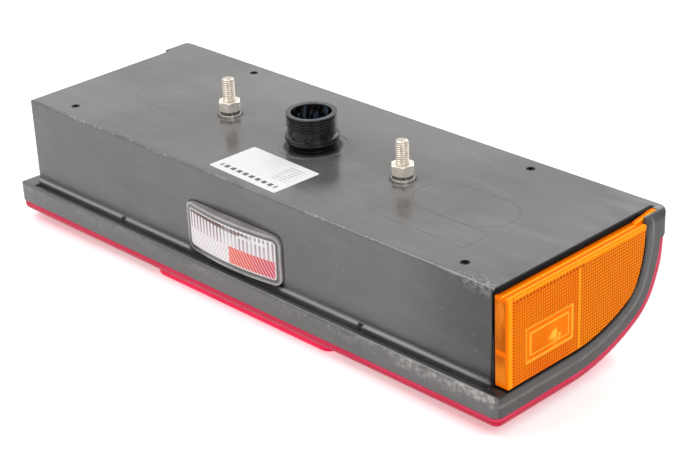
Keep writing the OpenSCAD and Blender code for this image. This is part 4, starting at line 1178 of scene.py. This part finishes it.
@dataclass(frozen=True)
class ConnectorFinish:
    """Glossy black moulding, paler on the crests of its rings and collar and on the rim of its mouth with
    painted highlights and rubbing, and with painted bluish glints inside the mouth."""

    black: Colour = (0.005, 0.005, 0.006)
    # crest and rim: painted highlights; blue: painted glints inside the mouth.
    crest: Colour = (0.050, 0.050, 0.052)
    rim: Colour = (0.19, 0.195, 0.20)
    blue: Colour = (0.085, 0.12, 0.19)
    ring_z: float = 13.0
    ring_pitch: float = 1.58
    crest_share: float = 0.36
    collar: Pair = (5.7, 8.4)
    top_z: float = 22.5
    mouth_r: float = 12.8

    def material(self) -> bpy.types.Material:
        """Builds the material."""
        s = Shade("connector_plastic")
        radius = s.length(s.x, s.y)
        outside = s.step(radius, self.mouth_r + 0.6, self.mouth_r + 1.2)
        # Painted highlights on the crests of the rings and on the collar.
        level = s.math("SUBTRACT", s.z, (self.ring_z + self.crest_share * self.ring_pitch) * MM)
        crests = s.times(s.ease(s.wave(level, self.ring_pitch), 0.0, 0.5, 1.0, 0.0),
                         s.within(s.z, self.ring_z, self.top_z - 1.9))
        collar = s.largest(*(s.near(s.z, z, 0.7) for z in self.collar))
        wear_and_highlight = s.ease(s.noise(110.0, 4.0, 0.6), 0.34, 0.6, 0.35, 1.0)
        pale = s.times(s.largest(crests, s.times(collar, 0.7)), outside, wear_and_highlight)
        colour = s.mix(pale, self.black, self.crest)
        # Painted highlights on the lip and on the inner edge of the mouth.
        lip = s.times(s.step(s.z, self.top_z - 0.5, self.top_z - 0.1), wear_and_highlight)
        inner_edge = s.times(s.near(radius, self.mouth_r + 0.1, 0.7),
                             s.step(s.z, self.top_z - 1.2, self.top_z))
        colour = s.mix(s.times(s.largest(s.times(lip, 0.45), inner_edge), 0.8), colour, self.rim)
        # Painted bluish glints inside the mouth.
        inside = s.times(s.rest(outside), s.within(s.z, 12.0, 20.5, 1.5))
        ribs = s.ease(s.noise(230.0, 3.0, 0.6, (1.0, 1.0, 0.35)), 0.5, 0.62)
        colour = s.mix(s.times(inside, ribs, 0.8), colour, self.blue)
        s.set(Base_Color=colour, IOR=1.5, Specular_IOR_Level=0.38)
        s.set(Roughness=s.ease(s.noise(160.0, 3.0), 0.35, 0.7, 0.09, 0.2))
        s.relief(s.noise(260.0, 2.0), 0.015, 0.3, 0.3)
        return s.material


@dataclass(frozen=True)
class GlassFinish:
    """Thin bulb glass, nearly clear, with a metal look on the cap above it."""

    name: str
    tint: Colour
    cap: Colour = (0.72, 0.70, 0.66)
    cap_z: float = -36.0

    def material(self) -> bpy.types.Material:
        """Builds the material."""
        s = Shade(self.name)
        cap = s.step(s.z, self.cap_z - 0.4, self.cap_z)
        s.set(Base_Color=s.mix(cap, self.tint, self.cap), Metallic=cap, IOR=1.45)
        s.set(Transmission_Weight=s.rest(cap))
        s.set(Roughness=s.ease(s.noise(120.0, 2.0), 0.3, 0.7, 0.04, 0.12))
        return s.material


@dataclass(frozen=True)
class PaperFinish:
    """White sticker paper with plain dashes and short grey lines where such a label has its print."""

    middle: Pair = (3.6, -43.8)
    turn: float = -1.9
    white: Colour = (0.95, 0.95, 0.95)
    shade: Colour = (0.91, 0.91, 0.91)
    ink: Colour = (0.045, 0.045, 0.05)
    pale_ink: Colour = (0.42, 0.42, 0.43)
    dash_pitch: float = 5.6
    row: Box = (-25.0, 25.0, -13.6, -10.2)
    lines: Box = (10.0, 25.0, -5.0, 12.5)
    line_pitch: float = 2.7

    def material(self) -> bpy.types.Material:
        """Builds the material."""
        s = Shade("label_paper")
        turned = s.add("ShaderNodeMapping")
        turned.vector_type = "TEXTURE"
        turned.inputs["Location"].default_value = (self.middle[0] * MM, self.middle[1] * MM, 0.0)
        turned.inputs["Rotation"].default_value = (0.0, 0.0, math.radians(self.turn))
        s.link(s.point, turned.inputs["Vector"])
        parts = s.add("ShaderNodeSeparateXYZ")
        s.link(turned.outputs[0], parts.inputs[0])
        u, v = parts.outputs[0], parts.outputs[1]
        in_row = s.step(s.from_box(u, v, self.row), -0.1, 0.0, 1.0, 0.0)
        dashes = s.times(in_row, s.ease(s.wave(u, self.dash_pitch), 0.34, 0.4))
        in_lines = s.step(s.from_box(u, v, self.lines), -0.1, 0.0, 1.0, 0.0)
        ragged = s.ease(s.noise(320.0, 1.0, 0.5, (1.0, 0.2, 1.0)), 0.4, 0.44)
        thin = s.times(in_lines, s.ease(s.wave(v, self.line_pitch), 0.66, 0.76), ragged)
        paper = s.mix(s.ease(s.noise(60.0, 4.0), 0.35, 0.7), self.white, self.shade)
        paper = s.mix(s.times(thin, 0.8), paper, self.pale_ink)
        s.set(Base_Color=s.mix(s.times(dashes, 0.9), paper, self.ink))
        s.set(Roughness=s.ease(s.noise(500.0), 0.3, 0.7, 0.45, 0.6))
        s.relief(s.noise(1200.0, 2.0), 0.02, 0.3)
        return s.material


# Sub-assemblies


@dataclass
class Housing:
    """The dark moulding: only its finish is made here."""

    finish: HousingFinish = field(default_factory=HousingFinish)

    def dress(self, nodes: dict[str, bpy.types.Object]) -> None:
        """Dresses the housing."""
        dress(nodes, self.finish.material(), "housing")


@dataclass
class LensSet:
    """Red lens with its coloured windows and reflex block, and the moulded bead round its side."""

    form: LampForm
    inset: float = 1.2
    top: float = 0.35
    bottom: float = 5.2
    swell: float = 0.55
    sunk: float = 0.9
    rows: int = 13

    def bead(self) -> bpy.types.Object:
        """Bead round the side of the lens.

        Every point of the side lies on the plan outline at the height of the underside curve at an
        offset. The bead pushes it outwards by a half sine of that offset, and its back lies inside.

        Returns:
            The bead.
        """
        share = np.linspace(0.0, 1.0, self.rows)
        offsets = self.top + (self.bottom - self.top) * share
        out = self.swell * np.sin(np.pi * share)
        rings = []
        for offset, push in zip(offsets, out):
            plan = self.form.outline(self.inset - push)
            rings.append(np.column_stack([plan, self.form.depth(offset, plan[:, 1])]))
        for offset in (self.bottom, self.top):
            plan = self.form.outline(self.inset + self.sunk)
            rings.append(np.column_stack([plan, self.form.depth(offset, plan[:, 1])]))
        count = rings[0].shape[0]
        rise = np.repeat(np.concatenate([share, [1.0, 0.0]]), count)
        faces = grid_faces(len(rings), count, True, True)
        return mesh_object("lens_side_bead", np.concatenate(rings), faces, rise=rise)

    def dress(self, nodes: dict[str, bpy.types.Object]) -> None:
        """Dresses the lens pieces and adds the bead.

        Args:
            nodes: the frame's solids by name.
        """
        # glow: painted glow on the red lens and the reflex block.
        red = LensFinish("red_lens", (0.62, 0.008, 0.040), (0.50, 0.006, 0.030), Light.DEEP, 0.08,
                         glow=0.1, mirror=0.35, ribs=4.2, ribs_below=-30.0)
        dress(nodes, red.material(), "main_lens")
        place(self.bead(), BeadFinish().material(), "red_lens")
        reflex = LensFinish("red_reflex", (0.86, 0.007, 0.092), (0.74, 0.004, 0.066), Light.FAINT, 0.12,
                            glow=0.36, mirror=0.12, ribs=3.0, ribs_below=-83.9)
        dress(nodes, reflex.material(), "reflex_reflector")
        clear = LensFinish("clear_lens", (0.93, 0.94, 0.94), (0.88, 0.89, 0.9), Light.CLEAR, 0.1)
        dress(nodes, clear.material(), "reversing_window")
        amber = LensFinish("amber_lens", (0.93, 0.27, 0.012), (0.8, 0.2, 0.01), Light.TINTED, 0.12)
        dress(nodes, amber.material(), "indicator_window")


@dataclass
class SideMarker:
    """Amber end of the lamp."""

    def dress(self, nodes: dict[str, bpy.types.Object]) -> None:
        """Dresses the side marker lens."""
        dress(nodes, MarkerFinish().material(), "side_marker_lens")


@dataclass
class NumberPlateLens:
    """Clear window in the near wall: smooth outside, fluted inside, with a plain thick border."""

    window: PlateWindow = field(default_factory=PlateWindow)
    wall_y: float = -68.2
    proud: float = 1.2
    bulge: float = 4.0
    span: float = 84.0
    border: float = 4.4
    border_slope: float = 0.5
    skin: float = 1.3
    flute: float = 1.1
    back_y: float = -62.6
    rim: float = 3.0
    rim_overlap: float = 0.5
    rim_y: Pair = (-64.6, -62.6)
    columns: int = 241
    lines: int = 97
    rim_sides: int = 72

    def front(self, x: np.ndarray) -> np.ndarray:
        """Bulged front: a circular arc along the lamp, highest in the middle.

        Args:
            x: places along the lamp.

        Returns:
            y of the front at each place.
        """
        radius = (self.span**2 / 4 + self.bulge**2) / (2 * self.bulge)
        centre = self.wall_y - self.proud - self.bulge + radius
        return centre - np.sqrt(radius**2 - (x - self.window.middle[0]) ** 2)

    def flutes(self, x: np.ndarray, z: np.ndarray) -> np.ndarray:
        """Flutes: the cosine of a phase that runs along the rows, without its sign. The rows are
        upright above the split, and below it they slant apart from the middle.

        Args:
            x: places along the lamp.
            z: heights.

        Returns:
            Height of the flutes from zero to one.
        """
        form = self.window
        u = x - form.middle[0]
        upright = np.abs(np.cos(np.pi * u / form.pitch))
        along = np.abs(u) + (z - form.split) * form.lean()
        slanting = np.abs(np.cos(np.pi * along / (form.pitch * form.slanting_share)))
        return np.where(z > form.split, upright, slanting) ** 0.8

    def body(self) -> bpy.types.Object:
        """Closed shell: rows of points across the front, then back across the fluted inside. The
        rows lie at the sine of even steps, so that they crowd at the round corners.

        Returns:
            The window without its rim.
        """
        (middle_x, middle_z), (length, height) = self.window.middle, self.window.size
        v = height / 2 * np.sin(np.linspace(-1.0, 1.0, self.lines) * np.pi / 2)
        half = half_width(v, length, height, self.window.corner)
        x = middle_x + half[:, None] * np.linspace(-1.0, 1.0, self.columns)[None]
        z = np.repeat((middle_z + v)[:, None], self.columns, 1)
        front = self.front(x)
        inner = self.skin + self.flute * self.flutes(x, z)
        edge = np.minimum(half[:, None] - np.abs(x - middle_x), height / 2 - np.abs(v)[:, None])
        inside = np.clip((edge - self.border) / self.border_slope + 0.5, 0.0, 1.0)
        back = np.where(inside > 0.0, front + inner, front)
        back = back * inside + self.back_y * (1.0 - inside)
        near, far = (np.stack([x, y, z], -1) for y in (front, back))
        return folded_sheet("plate_lens_fluted", near, far, 28.0)

    def flange(self) -> bpy.types.Object:
        """Rim behind the wall that holds the lens: a ring of rectangular section. Each of its four
        edges is a rectangle with corners of radius r, which is a circle of that radius whose quarters
        are moved apart.

        Returns:
            The rim.
        """
        (middle_x, middle_z), (length, height) = self.window.middle, self.window.size
        a = np.linspace(0.0, 2 * np.pi, self.rim_sides, endpoint=False)
        outer, inner = self.rim, self.rim_overlap - self.border
        front, back = self.rim_y
        rings = []
        for grow, y in ((outer, front), (outer, back), (inner, back), (inner, front)):
            r = max(self.window.corner + grow, 1.0)
            x = middle_x + np.sign(np.cos(a)) * (length / 2 + grow - r) + r * np.cos(a)
            z = middle_z + np.sign(np.sin(a)) * (height / 2 + grow - r) + r * np.sin(a)
            rings.append(np.stack([x, np.full_like(a, y), z], -1))
        faces = grid_faces(len(rings), self.rim_sides, True, True)
        return mesh_object("plate_lens_rim", np.concatenate(rings), faces)

    def dress(self) -> None:
        """Builds both pieces in place of the plain solid."""
        finish = PlateLensFinish(self.window).material()
        place(self.body(), finish, "plate_lens", "number_plate_lens")
        place(self.flange(), finish, "plate_lens")


@dataclass
class Fasteners:
    """Studs with their threads, nuts, washers and screws."""

    pitch: float = 152.0
    radius: float = 4.0
    pitch_radius: float = 3.58
    nut_top: float = 10.2
    reach: float = 25.0
    lead: float = 1.25
    depth: float = 0.5
    steepness: float = 1.25
    crest_flat: float = 0.12
    fade_length: float = 1.2
    tip_length: float = 1.6
    tip_taper: float = 0.9
    seat: float = 6.0
    head: float = 5.3
    head_af: float = 13.0
    chamfer: float = 0.96
    turns: int = 40
    per_lead: int = 8

    def stud(self, middle: float) -> tuple[np.ndarray, np.ndarray]:
        """One stud: a profile turned round its axis, with a helical ridge.

        The radius at angle a and height z is the thread radius less the thread depth times a
        triangle wave of z / lead - a / full turn. The ridge fades out at the tip. Up to the top of
        the nut the shaft is plain and has the pitch radius. The head is a hexagon, whose radius is
        half its width across flats over the cosine of the angle from the nearest flat.

        Args:
            middle: x of the stud's axis.

        Returns:
            The points and the faces.
        """
        count = int((self.reach + self.seat - 1.0) / self.lead * self.per_lead)
        z = np.linspace(-self.seat + 0.5, self.reach - self.chamfer * 0.5, count)
        a = np.linspace(0.0, 2 * np.pi, self.turns, endpoint=False)
        phase = z[:, None] / self.lead - a[None] / (2 * np.pi)
        saw = np.abs(2.0 * (phase - np.floor(phase)) - 1.0)
        cut = self.depth * np.clip(saw * self.steepness - self.crest_flat, 0.0, 1.0)
        fade = np.clip((self.reach - 0.5 - z) / self.fade_length, 0.0, 1.0)[:, None]
        past_tip = np.clip((z - (self.reach - self.tip_length)) / self.tip_length, 0.0, 1.0)[:, None]
        taper = past_tip**2 * self.tip_taper
        thread = self.radius - cut * fade - taper
        shaft = np.where(z[:, None] < self.nut_top, self.pitch_radius, thread)
        six = np.pi / 6
        turn = (a + six) % (2 * six) - six
        hexagon = (self.head_af / 2) / np.cos(turn)
        low = -self.seat - self.head
        foot = [0.0 * a, hexagon * 0.94, hexagon, hexagon, np.full_like(a, self.pitch_radius)]
        tip = np.outer([self.radius - 1.15, self.radius - 1.5, 0.0], np.ones_like(a))
        foot_z = [low, low, low + 0.5, -self.seat, -self.seat]
        tip_z = [self.reach - 0.1, self.reach, self.reach]
        r = np.concatenate([foot, shaft, tip])
        height = np.concatenate([foot_z, z, tip_z])[:, None] + 0.0 * r
        points = np.stack([middle + r * np.cos(a), r * np.sin(a), height], -1)
        return points.reshape(-1, 3), grid_faces(len(r), self.turns, False, True)

    def studs(self) -> bpy.types.Object:
        """Both studs as one piece."""
        left, faces = self.stud(-self.pitch / 2)
        right, more = self.stud(self.pitch / 2)
        quads = np.concatenate([faces, more + len(left)])
        return mesh_object("threaded_studs", np.concatenate([left, right]), quads, 60)

    def dress(self, nodes: dict[str, bpy.types.Object]) -> None:
        """Builds the studs and dresses the small hardware.

        Args:
            nodes: the frame's solids by name.
        """
        zinc = MetalFinish("stud_zinc", (0.72, 0.65, 0.57), (0.56, 0.49, 0.42), 0.26)
        place(self.studs(), zinc.material(), "stud_zinc", "mounting_studs")
        nut = MetalFinish("nut_zinc", (0.98, 0.93, 0.84), (0.86, 0.80, 0.71), 0.42)
        dress(nodes, nut.material(), "stud_nuts")
        washer = MetalFinish("washer_zinc", (0.96, 0.93, 0.87), (0.80, 0.76, 0.70), 0.34)
        dress(nodes, washer.material(), "flat_washers")
        # The spring washer is drawn darker than the other zinc parts: painted shade between the nut and
        # the flat washer.
        painted_shade_spring = MetalFinish("spring_zinc_painted_shade", (0.30, 0.28, 0.25), (0.16, 0.15, 0.13), 0.28)
        dress(nodes, painted_shade_spring.material(), "spring_washers")
        screw = MetalFinish("screw_zinc", (0.7, 0.7, 0.7), (0.5, 0.5, 0.5), 0.3)
        dress(nodes, screw.material(), "lens_screws")


@dataclass
class Connector:
    """Round socket between the studs."""

    def dress(self, nodes: dict[str, bpy.types.Object]) -> None:
        """Dresses the socket, its seal and pins.

        Args:
            nodes: the frame's solids by name.
        """
        dress(nodes, ConnectorFinish().material(), "connector_socket")
        brass = MetalFinish("pin_brass", (0.83, 0.67, 0.36), (0.6, 0.45, 0.2), 0.22)
        dress(nodes, brass.material(), "contact_pins")
        seal = PlainFinish("seal_red", (0.22, 0.03, 0.025), (0.15, 0.02, 0.018), 0.55)
        dress(nodes, seal.material(), "connector_seal")


@dataclass
class BackLabel:
    """Sticker on the back plate: a thin sheet with rounded corners and a slight ripple."""

    middle: Pair = (3.6, -43.8)
    length: float = 59.5
    width: float = 35.8
    corner: float = 1.2
    turn: float = -1.9
    thick: float = 0.13
    columns: int = 49
    lines: int = 33

    def sheet(self) -> bpy.types.Object:
        """Closed sheet: each row is as wide as the rounded outline there; the top ripples gently
        with a product of two sines, and the bottom lies on the plate.

        Returns:
            The sheet.
        """
        v = self.width / 2 * np.sin(np.linspace(-1.0, 1.0, self.lines) * np.pi / 2)
        half = half_width(v, self.length, self.width, self.corner)
        u = half[:, None] * np.linspace(-1.0, 1.0, self.columns)[None]
        w = np.repeat(v[:, None], self.columns, 1)
        ripple = 0.5 + 0.5 * np.sin(u * 0.31 + 0.7) * np.sin(w * 0.23 + 0.4)
        a = math.radians(self.turn)
        x = self.middle[0] + u * math.cos(a) - w * math.sin(a)
        y = self.middle[1] + u * math.sin(a) + w * math.cos(a)
        top = np.stack([x, y, self.thick * (0.75 + 0.25 * ripple)], -1)
        return folded_sheet("label_sheet", top, np.stack([x, y, np.zeros_like(x)], -1))

    def dress(self) -> None:
        """Builds the sticker in place of its plain solid."""
        place(self.sheet(), PaperFinish(self.middle, self.turn).material(), "label_paper", "back_label")


@dataclass
class Inside:
    """Reflector, bulbs, holders, strips and seals."""

    stations: tuple[str, ...] = ("fog", "reversing", "tail", "stop", "marker")

    def dress(self, nodes: dict[str, bpy.types.Object]) -> None:
        """Dresses what the housing and the lens enclose.

        Args:
            nodes: the frame's solids by name.
        """
        white = PlainFinish("reflector_white", (0.84, 0.84, 0.82), (0.78, 0.78, 0.76), 0.35)
        dress(nodes, white.material(), "reflector_insert")
        rubber = PlainFinish("seal_rubber", (0.022, 0.022, 0.022), (0.035, 0.035, 0.035), 0.6)
        dress(nodes, rubber.material(), "lens_gasket", "side_marker_seal", "number_plate_seal")
        holder = MetalFinish("holder_steel", (0.74, 0.73, 0.70), (0.55, 0.54, 0.51), 0.3).material()
        dress(nodes, holder, *(f"{name}_bulb_holder" for name in (*self.stations, "indicator")))
        glass = GlassFinish("bulb_glass", (0.95, 0.97, 0.97))
        dress(nodes, glass.material(), *(f"{name}_bulb" for name in self.stations))
        dress(nodes, GlassFinish("amber_bulb_glass", (0.95, 0.5, 0.08)).material(), "indicator_bulb")
        brass = MetalFinish("contact_brass", (0.80, 0.62, 0.30), (0.62, 0.45, 0.2), 0.28).material()
        dress(nodes, brass, "contact_strips", "earth_strip")


# Studio


@dataclass
class Studio:
    """Pale floor, soft light and the camera."""

    floor_z: float = -84.5
    focal: float = 94.82
    sensor_mm: float = 36.0
    camera_at: Triple = (0.760887, -0.699595, 0.446518)
    right: Triple = (0.70417752, 0.70897708, -0.03854243)
    down: Triple = (0.28825224, -0.33506585, -0.89701813)
    ambient: float = 0.52
    floor_lift: float = 0.58
    floor_reach: float = 4000.0
    floor_white: Colour = (0.88, 0.88, 0.88)
    # Painted red light on the floor beside the lens.
    painted_floor_glow: Colour = (0.88, 0.34, 0.42)
    foot: Box = (-192.0, 200.0, -68.0, 24.0)

    def camera(self) -> None:
        """Camera above the near right corner, where the side marker is nearest."""
        data = bpy.data.cameras.new("camera")
        data.lens, data.sensor_width, data.sensor_fit = self.focal, self.sensor_mm, "HORIZONTAL"
        data.clip_start, data.clip_end = 0.05, 50.0
        camera = bpy.data.objects.new("camera", data)
        bpy.context.scene.collection.objects.link(camera)
        right, up = Vector(self.right), -Vector(self.down)
        back = right.cross(up)
        turn = Matrix((right, up, back)).transposed().to_4x4()
        camera.matrix_world = Matrix.Translation(self.camera_at) @ turn
        bpy.context.scene.camera = camera

    def lamp(self, name: str, at: Triple, size: float, power: float) -> None:
        """Square soft light aimed at the object.

        Args:
            name: its name.
            at: its place in metres.
            size: length of its side in metres.
            power: its power in watts.
        """
        data = bpy.data.lights.new(name, "AREA")
        data.shape, data.size, data.energy = "SQUARE", size, power
        lamp = bpy.data.objects.new(name, data)
        bpy.context.scene.collection.objects.link(lamp)
        lamp.location = at
        lamp.rotation_mode = "QUATERNION"
        lamp.rotation_quaternion = (-Vector(at)).to_track_quat("-Z", "Y")

    @staticmethod
    def seen(tree: bpy.types.NodeTree) -> Socket:
        """One for rays from the camera, and for mirrored and transmitted rays.

        Args:
            tree: the node tree that gets the nodes.

        Returns:
            One or zero.
        """
        path = tree.nodes.new("ShaderNodeLightPath")
        total = path.outputs["Is Camera Ray"]
        for name in ("Is Glossy Ray", "Is Transmission Ray"):
            node = tree.nodes.new("ShaderNodeMath")
            node.operation = "MAXIMUM"
            tree.links.new(total, node.inputs[0])
            tree.links.new(path.outputs[name], node.inputs[1])
            total = node.outputs[0]
        return total

    def world(self) -> None:
        """White to the eye and in mirrors, plain soft light for everything else."""
        world = bpy.data.worlds.new("studio")
        bpy.context.scene.world = world
        world.use_nodes = True
        tree = world.node_tree
        background = tree.nodes["Background"]
        background.inputs["Color"].default_value = (1.0, 1.0, 1.0, 1.0)
        node = tree.nodes.new("ShaderNodeMapRange")
        tree.links.new(self.seen(tree), node.inputs["Value"])
        node.inputs["To Min"].default_value = self.ambient
        node.inputs["To Max"].default_value = 1.0
        tree.links.new(node.outputs["Result"], background.inputs["Strength"])

    def floor(self) -> None:
        """Wide pale floor that keeps the shadow and has a painted pool of red light beside the lens."""
        reach = self.floor_reach
        corners = np.array([[-reach, -reach], [reach, -reach], [reach, reach], [-reach, reach]])
        points = np.column_stack([corners, np.full(len(corners), self.floor_z)])
        mesh = bpy.data.meshes.new("floor")
        mesh.from_pydata((points * MM).tolist(), [], [[0, 1, 2, 3]])
        floor = bpy.data.objects.new("floor", mesh)
        bpy.context.scene.collection.objects.link(floor)
        s = Shade("floor_white")
        side = s.off(s.x, (self.foot[0] + self.foot[1]) / 2)
        away = s.from_box(s.x, s.y, self.foot)
        # Painted pool of red light beside the lens, stronger towards the ends.
        painted_red_glow_share = s.times(s.step(away, 4.0, 16.0, 1.0, 0.0), s.step(side, 90.0, 200.0, 0.2, 0.5))
        colour = s.mix(painted_red_glow_share, self.floor_white, self.painted_floor_glow)
        s.set(Base_Color=colour, Roughness=0.45)
        s.set(Emission_Color=colour, Emission_Strength=s.times(self.seen(s.tree), self.floor_lift))
        mesh.materials.append(s.material)

    def build(self) -> None:
        """Sets the whole studio."""
        self.camera()
        self.world()
        self.floor()
        self.lamp("key", (-0.7, -0.6, 1.5), 1.0, 11.0)
        self.lamp("fill", (1.5, -0.6, 0.9), 0.9, 7.0)
        self.lamp("back", (-0.2, 1.5, 1.1), 1.2, 8.0)
        bpy.context.scene.view_settings.view_transform = "Standard"


def main() -> None:
    """Loads the frame, builds and dresses every sub-assembly, and sets the studio."""
    logging.basicConfig(level=logging.INFO, format="%(name)s: %(message)s")
    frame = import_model()
    nodes = frame["nodes"]
    form = LampForm()
    Housing(HousingFinish(form)).dress(nodes)
    LensSet(form).dress(nodes)
    SideMarker().dress(nodes)
    NumberPlateLens().dress()
    Fasteners().dress(nodes)
    Connector().dress(nodes)
    BackLabel().dress()
    Inside().dress(nodes)
    Studio().build()


if __name__ == "__main__":
    main()
